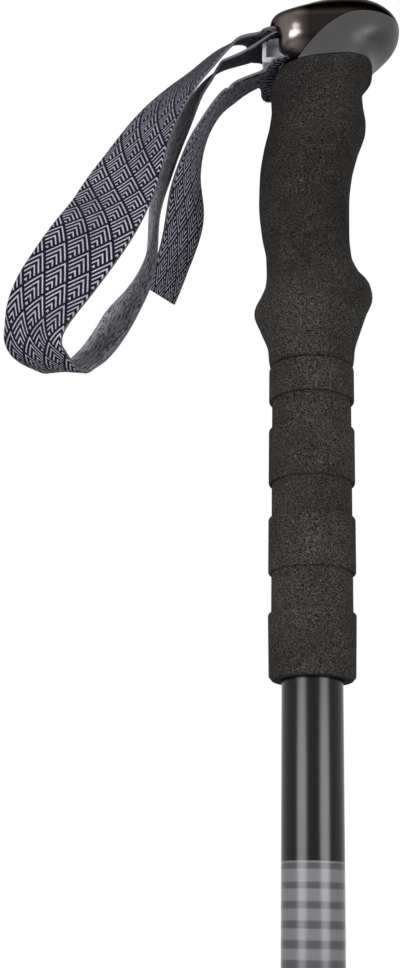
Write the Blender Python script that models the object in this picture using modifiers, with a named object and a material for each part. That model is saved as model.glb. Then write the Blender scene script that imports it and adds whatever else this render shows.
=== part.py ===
"""Telescopic trekking pole, three sections with lever locks, in metres, +Z up the pole.

The pole stands collapsed on its rubber foot with the origin at the middle of the foot's
sole. +X is the side of the finger grooves, and the wrist strap leaves the head towards -X.
"""
import math

import bmesh
import bpy
import numpy as np
from mathutils import Matrix, Vector

# Running and assembly clearances
FIT = 0.0003
SLIDE_FIT = 0.0003

# Shaft tubes: the outer one sets the bores and lengths of the two that slide inside it
UPPER_TUBE_D = 0.018
TUBE_WALL = 0.0007
MIDDLE_TUBE_D = UPPER_TUBE_D - 2 * (TUBE_WALL + SLIDE_FIT)
LOWER_TUBE_D = MIDDLE_TUBE_D - 2 * (TUBE_WALL + SLIDE_FIT)
UPPER_TUBE_LENGTH = 0.448
MIDDLE_TOP_ROOM = 0.027
LOWER_TOP_ROOM = 0.018
GUIDE_PLUG_DEPTH = 0.012
GUIDE_FLANGE = 0.003

# Foot, tip and ferrule
FOOT_HEIGHT = 0.044
FOOT_SOLE_D = 0.0215
FOOT_TOP_D = 0.0155
FOOT_SOLE = 0.0070
TIP_D = 0.0044
TIP_SHOWING = 0.0080
TIP_LENGTH = 0.0225
FERRULE_NOSE_D = 0.0078
FERRULE_THREAD_D = 0.0132
FERRULE_CONE = 0.0425
FERRULE_THREAD = 0.0080
FERRULE_LEDGE = 0.0010
FERRULE_FLANGE = 0.0030
FERRULE_SLEEVE = 0.0290
FERRULE_WALL = 0.0012
FERRULE_FLANGE_D = LOWER_TUBE_D + 2 * (FIT + FERRULE_WALL + FERRULE_LEDGE)
TUBE_SOCKET = 0.0260

# Basket
BASKET_D = 0.050
BASKET_HUB_D = 0.0215
BASKET_HUB_H = 0.0066
BASKET_WEB = 0.0018
BASKET_DISH = 0.0045
BASKET_WINDOWS = 8

# Lever locks
LOCK_GAP = 0.0040
LOCK_HEIGHT = 0.044
LOCK_LIP = 0.0040
LOCK_WALL = 0.0029
LOCK_CLAMP_MID = 0.0190
EAR_OUT = 0.0068
EAR_THICK = 0.0050
EAR_HEIGHT = 0.0165
CLAMP_SLIT = 0.0014
BOLT_D = 0.0038
BARREL_D = 0.0056
PLATE_THICK = 0.0010
PLATE_HEIGHT = 0.0120
CAM_R = 0.0048
CAM_THROW = 0.0006
LEVER_GAP = 0.0010
LEVER_THICK = 0.0026
LEVER_HEIGHT = 0.0150
LEVER_WRAP = 165.0
LEVER_TIP_R = 0.0021
FORK_GAP = 0.0050
WHEEL_D = 0.0094
WHEEL_THICK = 0.0045
WHEEL_FLUTES = 12

# Places that follow from the sizes, from the ground up
TIP_BOTTOM = FOOT_SOLE + FIT
FERRULE_BOTTOM = TIP_BOTTOM + TIP_SHOWING
THREAD_BOTTOM = FERRULE_BOTTOM + FERRULE_CONE
FLANGE_BOTTOM = THREAD_BOTTOM + FERRULE_THREAD
SLEEVE_BOTTOM = FLANGE_BOTTOM + FERRULE_FLANGE
FERRULE_TOP = SLEEVE_BOTTOM + FERRULE_SLEEVE
LOWER_TUBE_BOTTOM = FERRULE_TOP - TUBE_SOCKET
LOWER_LOCK_BOTTOM = FERRULE_TOP + LOCK_GAP
MIDDLE_TUBE_BOTTOM = LOWER_LOCK_BOTTOM + LOCK_LIP
UPPER_LOCK_BOTTOM = LOWER_LOCK_BOTTOM + LOCK_HEIGHT + LOCK_GAP
UPPER_TUBE_BOTTOM = UPPER_LOCK_BOTTOM + LOCK_LIP
UPPER_TUBE_TOP = UPPER_TUBE_BOTTOM + UPPER_TUBE_LENGTH
MIDDLE_TUBE_TOP = UPPER_TUBE_TOP - MIDDLE_TOP_ROOM
LOWER_TUBE_TOP = MIDDLE_TUBE_TOP - LOWER_TOP_ROOM

# Everything below hangs from the top of the upper tube. The tables are in millimetres, with
# their heights taken from there.
MM = 0.001

# Foam extension, ring by ring from its lower end: where a wide ring starts and stops
WIDE_D = 0.0262
NARROW_D = 0.0243
STEP_CHAMFER = 0.0006
RING_DROP = 0.1958
RING_BOTTOM = UPPER_TUBE_TOP - RING_DROP
WIDE_RINGS = ((0.0, 0.0197), (0.0318, 0.0489), (0.0596, 0.0770), (0.0860, 0.0969))

# Foam grip: height, back (-X), front (+X) and half width across
GRIP_STATIONS = (
    (-98.5, 11.9, 11.9, 11.9),
    (-97.8, 12.8, 12.8, 12.7),
    (-91.8, 13.6, 13.6, 13.4),
    (-85.1, 16.1, 15.6, 14.6),
    (-80.0, 17.9, 17.3, 15.6),
    (-74.8, 15.8, 19.2, 15.4),
    (-71.2, 14.5, 18.5, 14.9),
    (-67.3, 14.1, 15.4, 14.2),
    (-60.8, 14.3, 12.8, 13.7),
    (-52.8, 15.7, 12.2, 13.9),
    (-41.8, 16.7, 12.3, 14.3),
    (-32.6, 16.5, 13.2, 14.3),
    (-23.8, 15.4, 15.2, 14.1),
    (-14.3, 13.4, 17.9, 13.9),
    (-8.3, 12.8, 17.1, 13.9),
    (-3.2, 13.0, 16.8, 14.1),
    (0.2, 12.9, 17.6, 14.3),
    (3.9, 11.3, 20.3, 14.5),
)
GRIP_RISE = 0.0039
GRIP_TOP = UPPER_TUBE_TOP + GRIP_RISE
GRIP_TOP_SLOPE = 0.08

# Head: height, back, front, and how far each cheek reaches past the strap's edge
HEAD_STATIONS = (
    (4.2, 11.2, 20.2, 2.0),
    (7.2, 11.2, 20.6, 2.5),
    (10.2, 11.2, 22.2, 2.8),
    (13.2, 11.4, 25.2, 3.0),
    (16.2, 12.4, 27.9, 3.1),
    (18.6, 13.3, 29.1, 3.1),
    (20.8, 12.9, 29.4, 2.8),
    (23.2, 10.6, 28.7, 2.1),
    (25.6, 6.4, 26.9, 0.5),
    (27.8, 1.0, 24.2, -2.1),
    (29.4, -4.8, 20.8, -5.3),
    (30.2, -9.5, 17.4, -8.9),
)
HEAD_SEAM = (
    (-16.0, -7.8),
    (-6.6, 1.6),
    (-3.4, 4.6),
    (0.2, 9.0),
    (4.1, 13.4),
    (8.4, 16.8),
    (13.0, 19.4),
    (18.0, 20.5),
    (23.0, 20.9),
    (34.0, 21.1),
)
HEAD_ROUND_FROM = 0.013
COVER_WALL = 0.0010
SLEEVE_WALL = 0.0010
SLEEVE_D = UPPER_TUBE_D + 2 * (FIT + SLEEVE_WALL)
SLEEVE_LENGTH = 0.042
SOCKET_ROOF = 0.0003

# Wrist strap, its wedge and the mouth of the head
STRAP_WIDTH = 0.025
STRAP_THICK = 0.0010
TURN_X = 0.0050
TURN_RISE = 0.01065
TURN_Z = UPPER_TUBE_TOP + TURN_RISE
TURN_R = 0.00545
MOUTH_SIDE = 0.0003
MOUTH_LIFT = 0.0004
MOUTH_FLARE = 0.0022
MOUTH_REACH = 0.030
MOUTH_SILL_X = -0.0104
MOUTH_INTO_FOAM = 0.0012
MOUTH_HALF = STRAP_WIDTH / 2 + MOUTH_SIDE
WEDGE_WIDTH = 0.0190
WEDGE_OUT = 0.0157
WEDGE_LIP = 0.0010
WEDGE_PIN_D = 0.0025
WEDGE_PIN_X = -0.0010
WEDGE_PIN_DROP = 0.0009
WEDGE_PIN_SEAT = 0.0006
WEDGE_PIN_REACH = MOUTH_HALF + WEDGE_PIN_SEAT
WEDGE_TRAVEL = 0.0040
STRAP_END_X = 0.0020

# The strap's free route, from the mouth round the hand loop and back in:
# the middle of the webbing, and its twist in degrees about the route
LOOP_ROUTE = (
    (-16.7, -0.5, 15.2, -8.0),
    (-20.5, -0.3, 13.6, -15.5),
    (-25.0, 2.0, 12.7, -29.0),
    (-30.0, 4.0, 11.4, -34.5),
    (-35.0, 6.1, 7.6, -31.2),
    (-39.5, 8.3, 1.9, -26.7),
    (-44.5, 11.2, -10.2, -24.6),
    (-49.5, 12.7, -25.7, -22.8),
    (-52.1, 10.8, -46.7, -13.7),
    (-59.8, 2.0, -76.4, -38.7),
    (-70.5, -3.8, -96.7, -40.1),
    (-75.7, -8.1, -101.3, -32.8),
    (-83.3, -22.9, -97.4, 51.6),
    (-75.1, -27.4, -78.3, 81.9),
    (-66.4, -23.0, -61.0, 86.2),
    (-61.6, -13.7, -44.4, 81.5),
    (-55.0, -5.0, -20.3, 57.5),
    (-48.5, -0.8, -5.5, 46.6),
    (-41.5, 0.6, 4.2, 38.3),
    (-35.5, 0.8, 10.4, 33.9),
    (-30.2, 0.1, 15.5, 31.6),
    (-25.5, -0.5, 18.4, 29.2),
    (-21.0, -0.8, 19.0, 19.0),
    (-16.9, -0.1, 18.5, 7.0),
)
TAIL_ROUTE = (
    (-16.6, -0.3, 3.0, -8.0),
    (-19.6, 0.2, 3.0, -20.4),
    (-23.5, 2.4, 2.2, -27.2),
    (-27.5, 3.7, 0.4, -19.3),
    (-31.5, 4.9, -3.4, -12.4),
    (-35.4, 6.4, -10.0, -7.1),
    (-39.0, 8.2, -20.2, 3.7),
    (-41.2, 10.7, -37.2, 20.9),
    (-45.3, 12.3, -54.9, 12.7),
    (-48.8, 11.9, -65.4, 9.6),
)

# How far a cutter runs past what it cuts, and the sides of round pieces
CUT_PAST = 0.010
ROUND = 28
FINE = 20


def clear_scene():
    for obj in list(bpy.data.objects):
        bpy.data.objects.remove(obj, do_unlink=True)


def new_collection(name):
    collection = bpy.data.collections.new(name)
    bpy.context.scene.collection.children.link(collection)
    return collection


def principled(name, colour, roughness, metallic=0.0):
    material = bpy.data.materials.new(name)
    material.use_nodes = True
    shader = material.node_tree.nodes["Principled BSDF"]
    shader.inputs["Base Color"].default_value = (*colour, 1.0)
    shader.inputs["Roughness"].default_value = roughness
    shader.inputs["Metallic"].default_value = metallic
    material.diffuse_color = (*colour, 1.0)
    return material


def add_part(name, mesh, material, place=(0.0, 0.0, 0.0), turn=(0.0, 0.0, 0.0)):
    """Link a mesh as one named sub-part of the pole."""
    obj = bpy.data.objects.new(name, mesh)
    obj.location = place
    obj.rotation_euler = turn
    obj.data.materials.append(material)
    PARTS.objects.link(obj)
    return obj


def add_cutter(name, mesh, place=(0.0, 0.0, 0.0), turn=(0.0, 0.0, 0.0)):
    obj = bpy.data.objects.new(name, mesh)
    obj.location = place
    obj.rotation_euler = turn
    obj.hide_render = True
    obj.display_type = "WIRE"
    CUTTERS.objects.link(obj)
    return obj


def boolean(obj, other, operation="DIFFERENCE"):
    modifier = obj.modifiers.new(other.name, "BOOLEAN")
    modifier.operation = operation
    modifier.solver = "EXACT"
    modifier.object = other


def bevel(obj, width, segments=2, angle=40.0):
    modifier = obj.modifiers.new("edges", "BEVEL")
    modifier.width = width
    modifier.segments = segments
    modifier.limit_method = "ANGLE"
    modifier.angle_limit = math.radians(angle)
    return modifier


def finish_mesh(bm, name, smooth_angle=35.0):
    bmesh.ops.recalc_face_normals(bm, faces=bm.faces)
    mesh = bpy.data.meshes.new(name)
    bm.to_mesh(mesh)
    bm.free()
    mesh.shade_smooth()
    mesh.set_sharp_from_angle(angle=math.radians(smooth_angle))
    return mesh


def cylinder_mesh(name, radius, low, high, segments=ROUND):
    """A cylinder on the local Z axis from low to high."""
    bm = bmesh.new()
    middle = Matrix.Translation((0.0, 0.0, (low + high) / 2))
    bmesh.ops.create_cone(
        bm, cap_ends=True, segments=segments, radius1=radius, radius2=radius, depth=high - low, matrix=middle
    )
    return finish_mesh(bm, name)


def box_mesh(name, low, high):
    bm = bmesh.new()
    bmesh.ops.create_cube(bm, size=1.0)
    low = Vector(low)
    high = Vector(high)
    size = high - low
    bmesh.ops.scale(bm, vec=size, verts=bm.verts)
    bmesh.ops.translate(bm, vec=(low + high) / 2, verts=bm.verts)
    return finish_mesh(bm, name)


def turned(name, profile, material, segments=ROUND, place=(0.0, 0.0, 0.0), turn=(0.0, 0.0, 0.0), cutter=False):
    """Turn a profile of (radius, height) points, listed down the outer side, about local Z."""
    open_ended = profile[0][0] == 0.0
    mesh = bpy.data.meshes.new(name)
    points = [(radius, 0.0, height) for radius, height in profile]
    count = len(points)
    edges = [(i, i + 1) for i in range(count - 1)]
    if not open_ended:
        edges.append((count - 1, 0))
    mesh.from_pydata(points, edges, [])
    if cutter:
        obj = add_cutter(name, mesh, place, turn)
    else:
        obj = add_part(name, mesh, material, place, turn)
    screw = obj.modifiers.new("turn", "SCREW")
    screw.steps = segments
    screw.render_steps = segments
    screw.use_merge_vertices = True
    screw.merge_threshold = 0.00001
    screw.use_smooth_shade = False
    return obj


def plate_mesh(name, outline, low, high):
    """A flat outline of (x, y) points made into a plate from low to high on local Z."""
    curve = bpy.data.curves.new(name, "CURVE")
    curve.dimensions = "2D"
    curve.fill_mode = "BOTH"
    curve.extrude = (high - low) / 2
    spline = curve.splines.new("POLY")
    spline.points.add(len(outline) - 1)
    for point, (x, y) in zip(spline.points, outline):
        point.co = (x, y, 0.0, 1.0)
    spline.use_cyclic_u = True
    obj = bpy.data.objects.new(name, curve)
    bpy.context.scene.collection.objects.link(obj)
    depsgraph = bpy.context.evaluated_depsgraph_get()
    mesh = bpy.data.meshes.new_from_object(obj.evaluated_get(depsgraph))
    bpy.data.objects.remove(obj, do_unlink=True)
    bm = bmesh.new()
    bm.from_mesh(mesh)
    bmesh.ops.remove_doubles(bm, verts=bm.verts, dist=0.000001)
    bmesh.ops.dissolve_limit(bm, angle_limit=math.radians(1.0), verts=bm.verts, edges=bm.edges)
    bmesh.ops.translate(bm, vec=(0.0, 0.0, (low + high) / 2), verts=bm.verts)
    return finish_mesh(bm, name)


def arc(centre, radius, start, end, steps):
    """Points on a circle from one angle to another, in degrees."""
    points = []
    for i in range(steps + 1):
        angle = math.radians(start + (end - start) * i / steps)
        points.append((centre[0] + radius * math.cos(angle), centre[1] + radius * math.sin(angle)))
    return points


def gentle(xs, ys, x):
    """A smooth curve through points, with no overshoot between them."""
    xs = np.asarray(xs, float)
    ys = np.asarray(ys, float)
    step = np.diff(xs)
    slope = np.diff(ys) / step
    tangent = np.zeros(len(xs))
    for i in range(1, len(xs) - 1):
        if slope[i - 1] * slope[i] > 0.0:
            before = 2 * step[i] + step[i - 1]
            after = step[i] + 2 * step[i - 1]
            tangent[i] = (before + after) / (before / slope[i - 1] + after / slope[i])
    tangent[0] = slope[0]
    tangent[-1] = slope[-1]
    i = np.clip(np.searchsorted(xs, x) - 1, 0, len(step) - 1)
    t = (x - xs[i]) / step[i]
    return (
        (1 + 2 * t) * (1 - t) ** 2 * ys[i]
        + t * (1 - t) ** 2 * step[i] * tangent[i]
        + t * t * (3 - 2 * t) * ys[i + 1]
        + t * t * (t - 1) * step[i] * tangent[i + 1]
    )


def natural_spline(ts, values, t):
    """The natural cubic spline through values at ts, read at every t."""
    count = len(ts)
    step = np.diff(ts)
    system = np.eye(count)
    right = np.zeros((count, values.shape[1]))
    for i in range(1, count - 1):
        system[i, i - 1] = step[i - 1]
        system[i, i] = 2 * (step[i - 1] + step[i])
        system[i, i + 1] = step[i]
        right[i] = 6 * ((values[i + 1] - values[i]) / step[i] - (values[i] - values[i - 1]) / step[i - 1])
    bend = np.linalg.solve(system, right)
    i = np.clip(np.searchsorted(ts, t) - 1, 0, count - 2)
    h = step[i][:, None]
    a = ((ts[i + 1] - t) / step[i])[:, None]
    b = 1 - a
    return a * values[i] + b * values[i + 1] + ((a**3 - a) * bend[i] + (b**3 - b) * bend[i + 1]) * h * h / 6


def loft_mesh(name, rings):
    """A closed skin over rings of points that run the same way round."""
    bm = bmesh.new()
    rows = [[bm.verts.new(point) for point in ring] for ring in rings]
    count = len(rings[0])
    for lower, upper in zip(rows, rows[1:]):
        for i in range(count):
            j = (i + 1) % count
            bm.faces.new((lower[i], lower[j], upper[j], upper[i]))
    bm.faces.new(list(reversed(rows[0])))
    bm.faces.new(rows[-1])
    return finish_mesh(bm, name, 50.0)


def oval(height, back, front, half, square_back, square_front, segments):
    """One level section: rounder or squarer at the back (-X) and front (+X)."""
    middle = (front - back) / 2
    length = (front + back) / 2
    points = []
    for i in range(segments):
        angle = 2 * math.pi * i / segments
        c = math.cos(angle)
        s = math.sin(angle)
        power = 2 / (square_front if c > 0 else square_back)
        x = middle + length * math.copysign(abs(c) ** power, c)
        y = half * math.copysign(abs(s) ** power, s)
        points.append(Vector((x, y, height)))
    return points


def from_tube_top(table, column):
    """A table in metres, with one column of heights lifted to the top of the upper tube."""
    table = np.array(table) * MM
    table[:, column] += UPPER_TUBE_TOP
    return table


def station_rings(stations, heights, squares, tilt_at, segments):
    """Smooth rings through a table of stations. tilt_at(height) leans a ring along X."""
    table = from_tube_top(stations, 0)
    rings = []
    for height in heights:
        back, front, half = (float(gentle(table[:, 0], table[:, column], height)) for column in (1, 2, 3))
        square_back, square_front = squares(height)
        ring = oval(height, back, front, half, square_back, square_front, segments)
        for point in ring:
            point.z += tilt_at(height) * point.x
        rings.append(ring)
    return rings


def steps_between(low, high, step):
    count = max(1, round((high - low) / step))
    return [low + (high - low) * i / count for i in range(count + 1)]


def tube(name, diameter, low, high, material):
    outer = diameter / 2
    inner = outer - TUBE_WALL
    return turned(name, [(outer, high), (outer, low), (inner, low), (inner, high)], material)


def guide_plug(name, tube_diameter, tube_top, material):
    """The plug in a section's upper end that keeps it central in the tube around it."""
    flange = tube_diameter / 2 + SLIDE_FIT / 3
    stem = tube_diameter / 2 - TUBE_WALL - FIT
    bore = stem - 0.0015
    low = tube_top - GUIDE_PLUG_DEPTH
    seat = tube_top + FIT
    top = seat + GUIDE_FLANGE
    profile = [(bore, top), (flange - 0.0006, top), (flange, top - 0.0006), (flange, seat)]
    profile += [(stem, seat), (stem, low), (bore, low)]
    return turned(name, profile, material)


def rubber_foot(material):
    sole = FOOT_SOLE_D / 2
    top = FOOT_TOP_D / 2
    cone = (FERRULE_THREAD_D - FERRULE_NOSE_D) / 2 / FERRULE_CONE
    rise = FOOT_HEIGHT - FERRULE_BOTTOM
    nose = FERRULE_NOSE_D / 2 + FIT
    profile = [(top, FOOT_HEIGHT)]
    ribs = 3
    first = FOOT_SOLE + 0.0110
    pitch = (FOOT_HEIGHT - 0.004 - first) / ribs
    for i in range(ribs):
        height = FOOT_HEIGHT - 0.004 - i * pitch
        share = (height - FOOT_SOLE) / (FOOT_HEIGHT - FOOT_SOLE)
        radius = sole - 0.0012 + (top - sole + 0.0012) * share
        profile += [(radius, height), (radius - 0.0006, height - 0.0008), (radius - 0.0006, height - pitch * 0.35)]
        profile += [(radius + 0.0002, height - pitch * 0.45)]
    profile += [(sole - 0.0010, FOOT_SOLE + 0.0090), (sole, FOOT_SOLE + 0.0060), (sole, 0.0012), (sole - 0.0012, 0.0)]
    profile += [(0.0, 0.0)]
    profile = [(0.0, FOOT_SOLE), (TIP_D / 2 + FIT, FOOT_SOLE), (TIP_D / 2 + FIT, FERRULE_BOTTOM - FIT)] + [
        (nose, FERRULE_BOTTOM - FIT),
        (nose + cone * rise, FOOT_HEIGHT),
    ] + profile
    return turned("rubber_foot", profile, material)


def carbide_tip(material):
    radius = TIP_D / 2
    top = TIP_BOTTOM + TIP_LENGTH
    profile = [(0.0, top), (radius - 0.0005, top), (radius, top - 0.0006), (radius, TIP_BOTTOM + 0.0030)]
    profile += [(radius - 0.0004, TIP_BOTTOM + 0.0022), (radius - 0.0004, TIP_BOTTOM + 0.0006)]
    profile += [(radius - 0.0007, TIP_BOTTOM), (radius - 0.0012, TIP_BOTTOM), (0.0, TIP_BOTTOM + 0.0009)]
    return turned("carbide_tip", profile, material, FINE)


def tip_ferrule(material):
    nose = FERRULE_NOSE_D / 2
    thread = FERRULE_THREAD_D / 2
    flange = FERRULE_FLANGE_D / 2
    sleeve = LOWER_TUBE_D / 2 + FIT + FERRULE_WALL
    socket = LOWER_TUBE_D / 2 + FIT
    bore = TIP_D / 2 + FIT
    bore_top = TIP_BOTTOM + TIP_LENGTH + FIT
    socket_bottom = LOWER_TUBE_BOTTOM - FIT
    profile = [(socket, FERRULE_TOP), (sleeve - 0.0004, FERRULE_TOP), (sleeve, FERRULE_TOP - 0.0006)]
    profile += [(sleeve + 0.0006, SLEEVE_BOTTOM + 0.0040), (flange, SLEEVE_BOTTOM), (flange, FLANGE_BOTTOM)]
    profile += [(thread, FLANGE_BOTTOM)]
    turns = 3
    pitch = FERRULE_THREAD / turns
    for i in range(turns):
        high = FLANGE_BOTTOM - i * pitch
        profile += [(thread, high - pitch * 0.35), (thread - 0.0006, high - pitch * 0.55)]
        profile += [(thread - 0.0006, high - pitch * 0.75), (thread, high - pitch * 0.95)]
    profile += [(nose, FERRULE_BOTTOM + 0.0006), (nose - 0.0006, FERRULE_BOTTOM), (bore, FERRULE_BOTTOM)]
    profile += [(bore, bore_top), (0.0, bore_top)]
    profile = [(0.0, socket_bottom), (socket, socket_bottom)] + profile
    return turned("tip_ferrule", profile, material)


def basket(material):
    hub = BASKET_HUB_D / 2
    rim = BASKET_D / 2
    bore = FERRULE_THREAD_D / 2 + FIT
    top = FLANGE_BOTTOM - FIT
    low = top - BASKET_HUB_H
    web_low = low + 0.0010
    rim_low = web_low + BASKET_DISH
    profile = [(bore, top), (hub - 0.0006, top), (hub, top - 0.0006), (hub, web_low + BASKET_WEB)]
    profile += [((hub + rim) / 2, web_low + BASKET_WEB + BASKET_DISH * 0.35)]
    profile += [(rim - 0.0020, rim_low + BASKET_WEB * 0.8), (rim - 0.0010, rim_low + BASKET_WEB + 0.0008)]
    profile += [(rim, rim_low + BASKET_WEB), (rim, rim_low - 0.0002), (rim - 0.0010, rim_low - 0.0010)]
    profile += [((hub + rim) / 2, web_low + BASKET_DISH * 0.35), (hub, web_low), (hub, low + 0.0004)]
    profile += [(hub - 0.0004, low), (bore, low)]
    obj = turned("basket", profile, material, 40)
    length = rim - hub
    inner = hub + length * 0.24
    outer = hub + length * 0.80
    for i in range(BASKET_WINDOWS):
        angle = 2 * math.pi * (i + 0.5) / BASKET_WINDOWS
        spread = math.degrees(math.pi / BASKET_WINDOWS)
        outline = arc((0.0, 0.0), inner, spread * 0.55, -spread * 0.55, 3)
        outline += arc((0.0, 0.0), outer, -spread * 0.68, spread * 0.68, 5)
        mesh = plate_mesh("basket_window", outline, low - 0.002, rim_low + 0.006)
        boolean(obj, add_cutter(f"basket_window_{i + 1}", mesh, turn=(0.0, 0.0, angle)))
    return obj


def lock_collar(name, bottom, tube_d, inner_d, bolt_x, material):
    """The clamp collar on a tube's lower end, slit between two ears at +X."""
    outer = tube_d / 2 + FIT + LOCK_WALL
    bore = tube_d / 2 + FIT
    lip = inner_d / 2 + SLIDE_FIT
    seat = bottom + LOCK_LIP - FIT
    top = bottom + LOCK_HEIGHT
    middle = bottom + LOCK_CLAMP_MID
    profile = [(bore, top), (outer - 0.0018, top), (outer - 0.0008, top - 0.0010), (outer, top - 0.0060)]
    profile += [(outer, bottom + 0.0050), (outer - 0.0006, bottom + 0.0012), (outer - 0.0018, bottom)]
    profile += [(lip, bottom), (lip, seat), (bore, seat)]
    obj = turned(name, profile, material)
    ear_low = middle - EAR_HEIGHT / 2
    ear_high = middle + EAR_HEIGHT / 2
    reach = outer + EAR_OUT
    corner = 0.0040
    outline = [(bore + 0.0012, ear_low), (reach - corner, ear_low)]
    outline += arc((reach - corner, ear_low + corner), corner, -90.0, 0.0, 5)[1:]
    outline += arc((reach - corner, ear_high - corner), corner, 0.0, 90.0, 5)
    outline += [(bore + 0.0012, ear_high)]
    half = CLAMP_SLIT / 2 + EAR_THICK
    ears = add_cutter(name + "_ears", plate_mesh(name + "_ears", outline, -half, half), turn=(math.pi / 2, 0.0, 0.0))
    boolean(obj, ears, "UNION")
    slit_low = bottom - 0.001
    slit_high = ear_high + 0.0016
    slit = box_mesh(name + "_slit", (0.0, -CLAMP_SLIT / 2, slit_low), (reach + 0.002, CLAMP_SLIT / 2, slit_high))
    boolean(obj, add_cutter(name + "_slit", slit))
    relief_low = ear_high + 0.0006
    relief = box_mesh(name + "_relief", (outer * 0.25, -outer - 0.002, relief_low), (outer + 0.002, outer + 0.002, slit_high))
    boolean(obj, add_cutter(name + "_relief", relief))
    hole = cylinder_mesh(name + "_hole", BOLT_D / 2 + FIT, -half - 0.002, half + 0.002, FINE)
    boolean(obj, add_cutter(name + "_hole", hole, (bolt_x, 0.0, middle), (math.pi / 2, 0.0, 0.0)))
    return obj


def lever_outline(collar_r, pivot):
    """The lever seen from above, closed round the collar, relative to its pivot."""
    inner = collar_r + LEVER_GAP
    outer = inner + LEVER_THICK
    cam = (pivot[0], pivot[1] - CAM_THROW)
    reach = math.hypot(*cam)
    bearing = math.degrees(math.atan2(cam[1], cam[0]))
    tangent = bearing + math.degrees(math.acos((outer - CAM_R) / reach))
    points = arc(cam, CAM_R, 180.0, 360.0 + tangent, 18)
    points += arc((0.0, 0.0), outer, tangent, LEVER_WRAP, 8)
    tip = ((outer + 0.0008) * math.cos(math.radians(LEVER_WRAP)), (outer + 0.0008) * math.sin(math.radians(LEVER_WRAP)))
    points += arc(tip, LEVER_TIP_R, LEVER_WRAP + 10.0, LEVER_WRAP + 150.0, 7)
    start = math.degrees(math.acos((pivot[0] - CAM_R) * 0.35 / inner))
    points += arc((0.0, 0.0), inner, LEVER_WRAP - 4.0, start, 8)
    return [(x - pivot[0], y - pivot[1]) for x, y in points]


def lever_lock(prefix, bottom, tube_d, inner_d, materials):
    """One lever lock: collar, tension bolt, barrel pin, cam plate, cam lever and thumb wheel."""
    collar_r = tube_d / 2 + FIT + LOCK_WALL
    bolt_x = collar_r + 0.0030
    middle = bottom + LOCK_CLAMP_MID
    ear_face = CLAMP_SLIT / 2 + EAR_THICK
    plate_low = ear_face + FIT
    plate_high = plate_low + PLATE_THICK
    pivot_y = plate_high + FIT + CAM_R + CAM_THROW
    wheel_high = -ear_face - FIT
    wheel_low = wheel_high - WHEEL_THICK
    along_y = (-math.pi / 2, 0.0, 0.0)
    lock_collar(prefix + "_lock_collar", bottom, tube_d, inner_d, bolt_x, materials["plastic"])

    radius = BOLT_D / 2
    tail = wheel_low - 0.0012
    nose = pivot_y + BARREL_D / 2 + 0.0004
    profile = [(0.0, nose), (radius - 0.0004, nose), (radius, nose - 0.0004), (radius, tail + 0.0004)]
    profile += [(radius - 0.0004, tail), (0.0, tail)]
    turned(prefix + "_lock_bolt", profile, materials["steel"], 20, (bolt_x, 0.0, middle), along_y)

    plate = add_part(
        prefix + "_cam_plate",
        box_mesh("plate", (-0.0040, plate_low, -PLATE_HEIGHT / 2), (0.0036, plate_high, PLATE_HEIGHT / 2)),
        materials["steel"],
        (bolt_x, 0.0, middle),
    )
    hole = cylinder_mesh(prefix + "_plate_hole", BOLT_D / 2 + FIT, plate_low - 0.002, plate_high + 0.002, 20)
    boolean(plate, add_cutter(prefix + "_plate_hole", hole, (bolt_x, 0.0, middle), along_y))

    pivot = (bolt_x, pivot_y)
    half = LEVER_HEIGHT / 2
    barrel = add_part(
        prefix + "_lever_pin",
        cylinder_mesh("pin", BARREL_D / 2, -half, half, FINE),
        materials["steel"],
        (*pivot, middle),
    )
    cross = cylinder_mesh(prefix + "_pin_hole", BOLT_D / 2 + FIT, pivot_y - 0.006, pivot_y + 0.006, 20)
    boolean(barrel, add_cutter(prefix + "_pin_hole", cross, (bolt_x, 0.0, middle), along_y))

    outline = lever_outline(collar_r, pivot)
    lever = add_part(
        prefix + "_lock_lever", plate_mesh("lever", outline, -half, half), materials["lever"], (*pivot, middle)
    )
    bore = cylinder_mesh(prefix + "_lever_bore", BARREL_D / 2 + FIT, -half - 0.002, half + 0.002, FINE)
    boolean(lever, add_cutter(prefix + "_lever_bore", bore, (*pivot, middle)))
    fork_r = CAM_R + CAM_THROW + 0.0010
    fork = cylinder_mesh(prefix + "_lever_fork", fork_r, -FORK_GAP / 2, FORK_GAP / 2, ROUND)
    boolean(lever, add_cutter(prefix + "_lever_fork", fork, (*pivot, middle)))

    flutes = []
    for i in range(WHEEL_FLUTES):
        centre = 360.0 * i / WHEEL_FLUTES
        flutes += arc((0.0, 0.0), WHEEL_D / 2, centre - 8.0, centre + 4.0, 2)
        valley = math.radians(centre + 180.0 / WHEEL_FLUTES)
        flutes.append(((WHEEL_D / 2 - 0.0006) * math.cos(valley), (WHEEL_D / 2 - 0.0006) * math.sin(valley)))
    wheel = add_part(
        prefix + "_thumb_wheel",
        plate_mesh("wheel", flutes, wheel_low, wheel_high),
        materials["plastic"],
        (bolt_x, 0.0, middle),
        along_y,
    )
    bore = cylinder_mesh(prefix + "_wheel_bore", BOLT_D / 2 + FIT, wheel_low - 0.002, wheel_high + 0.002, 20)
    boolean(wheel, add_cutter(prefix + "_wheel_bore", bore, (bolt_x, 0.0, middle), along_y))


def foam_extension(material):
    """The ringed foam sleeve under the grip, turned from its steps."""
    wide = WIDE_D / 2
    narrow = NARROW_D / 2
    bore = UPPER_TUBE_D / 2 + FIT
    top = RING_BOTTOM + WIDE_RINGS[-1][1]
    profile = []
    for low, high in reversed(WIDE_RINGS):
        high += RING_BOTTOM
        low += RING_BOTTOM
        if high < top:
            profile.append((narrow, high))
        profile += [(wide - STEP_CHAMFER, high), (wide, high - STEP_CHAMFER), (wide, low + STEP_CHAMFER)]
        if low > RING_BOTTOM:
            profile += [(wide - STEP_CHAMFER, low), (narrow, low)]
    profile += [(wide - 0.0003, RING_BOTTOM + 0.0010), (wide - 0.0012, RING_BOTTOM), (bore, RING_BOTTOM), (bore, top)]
    return turned("grip_extension", profile, material)


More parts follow.
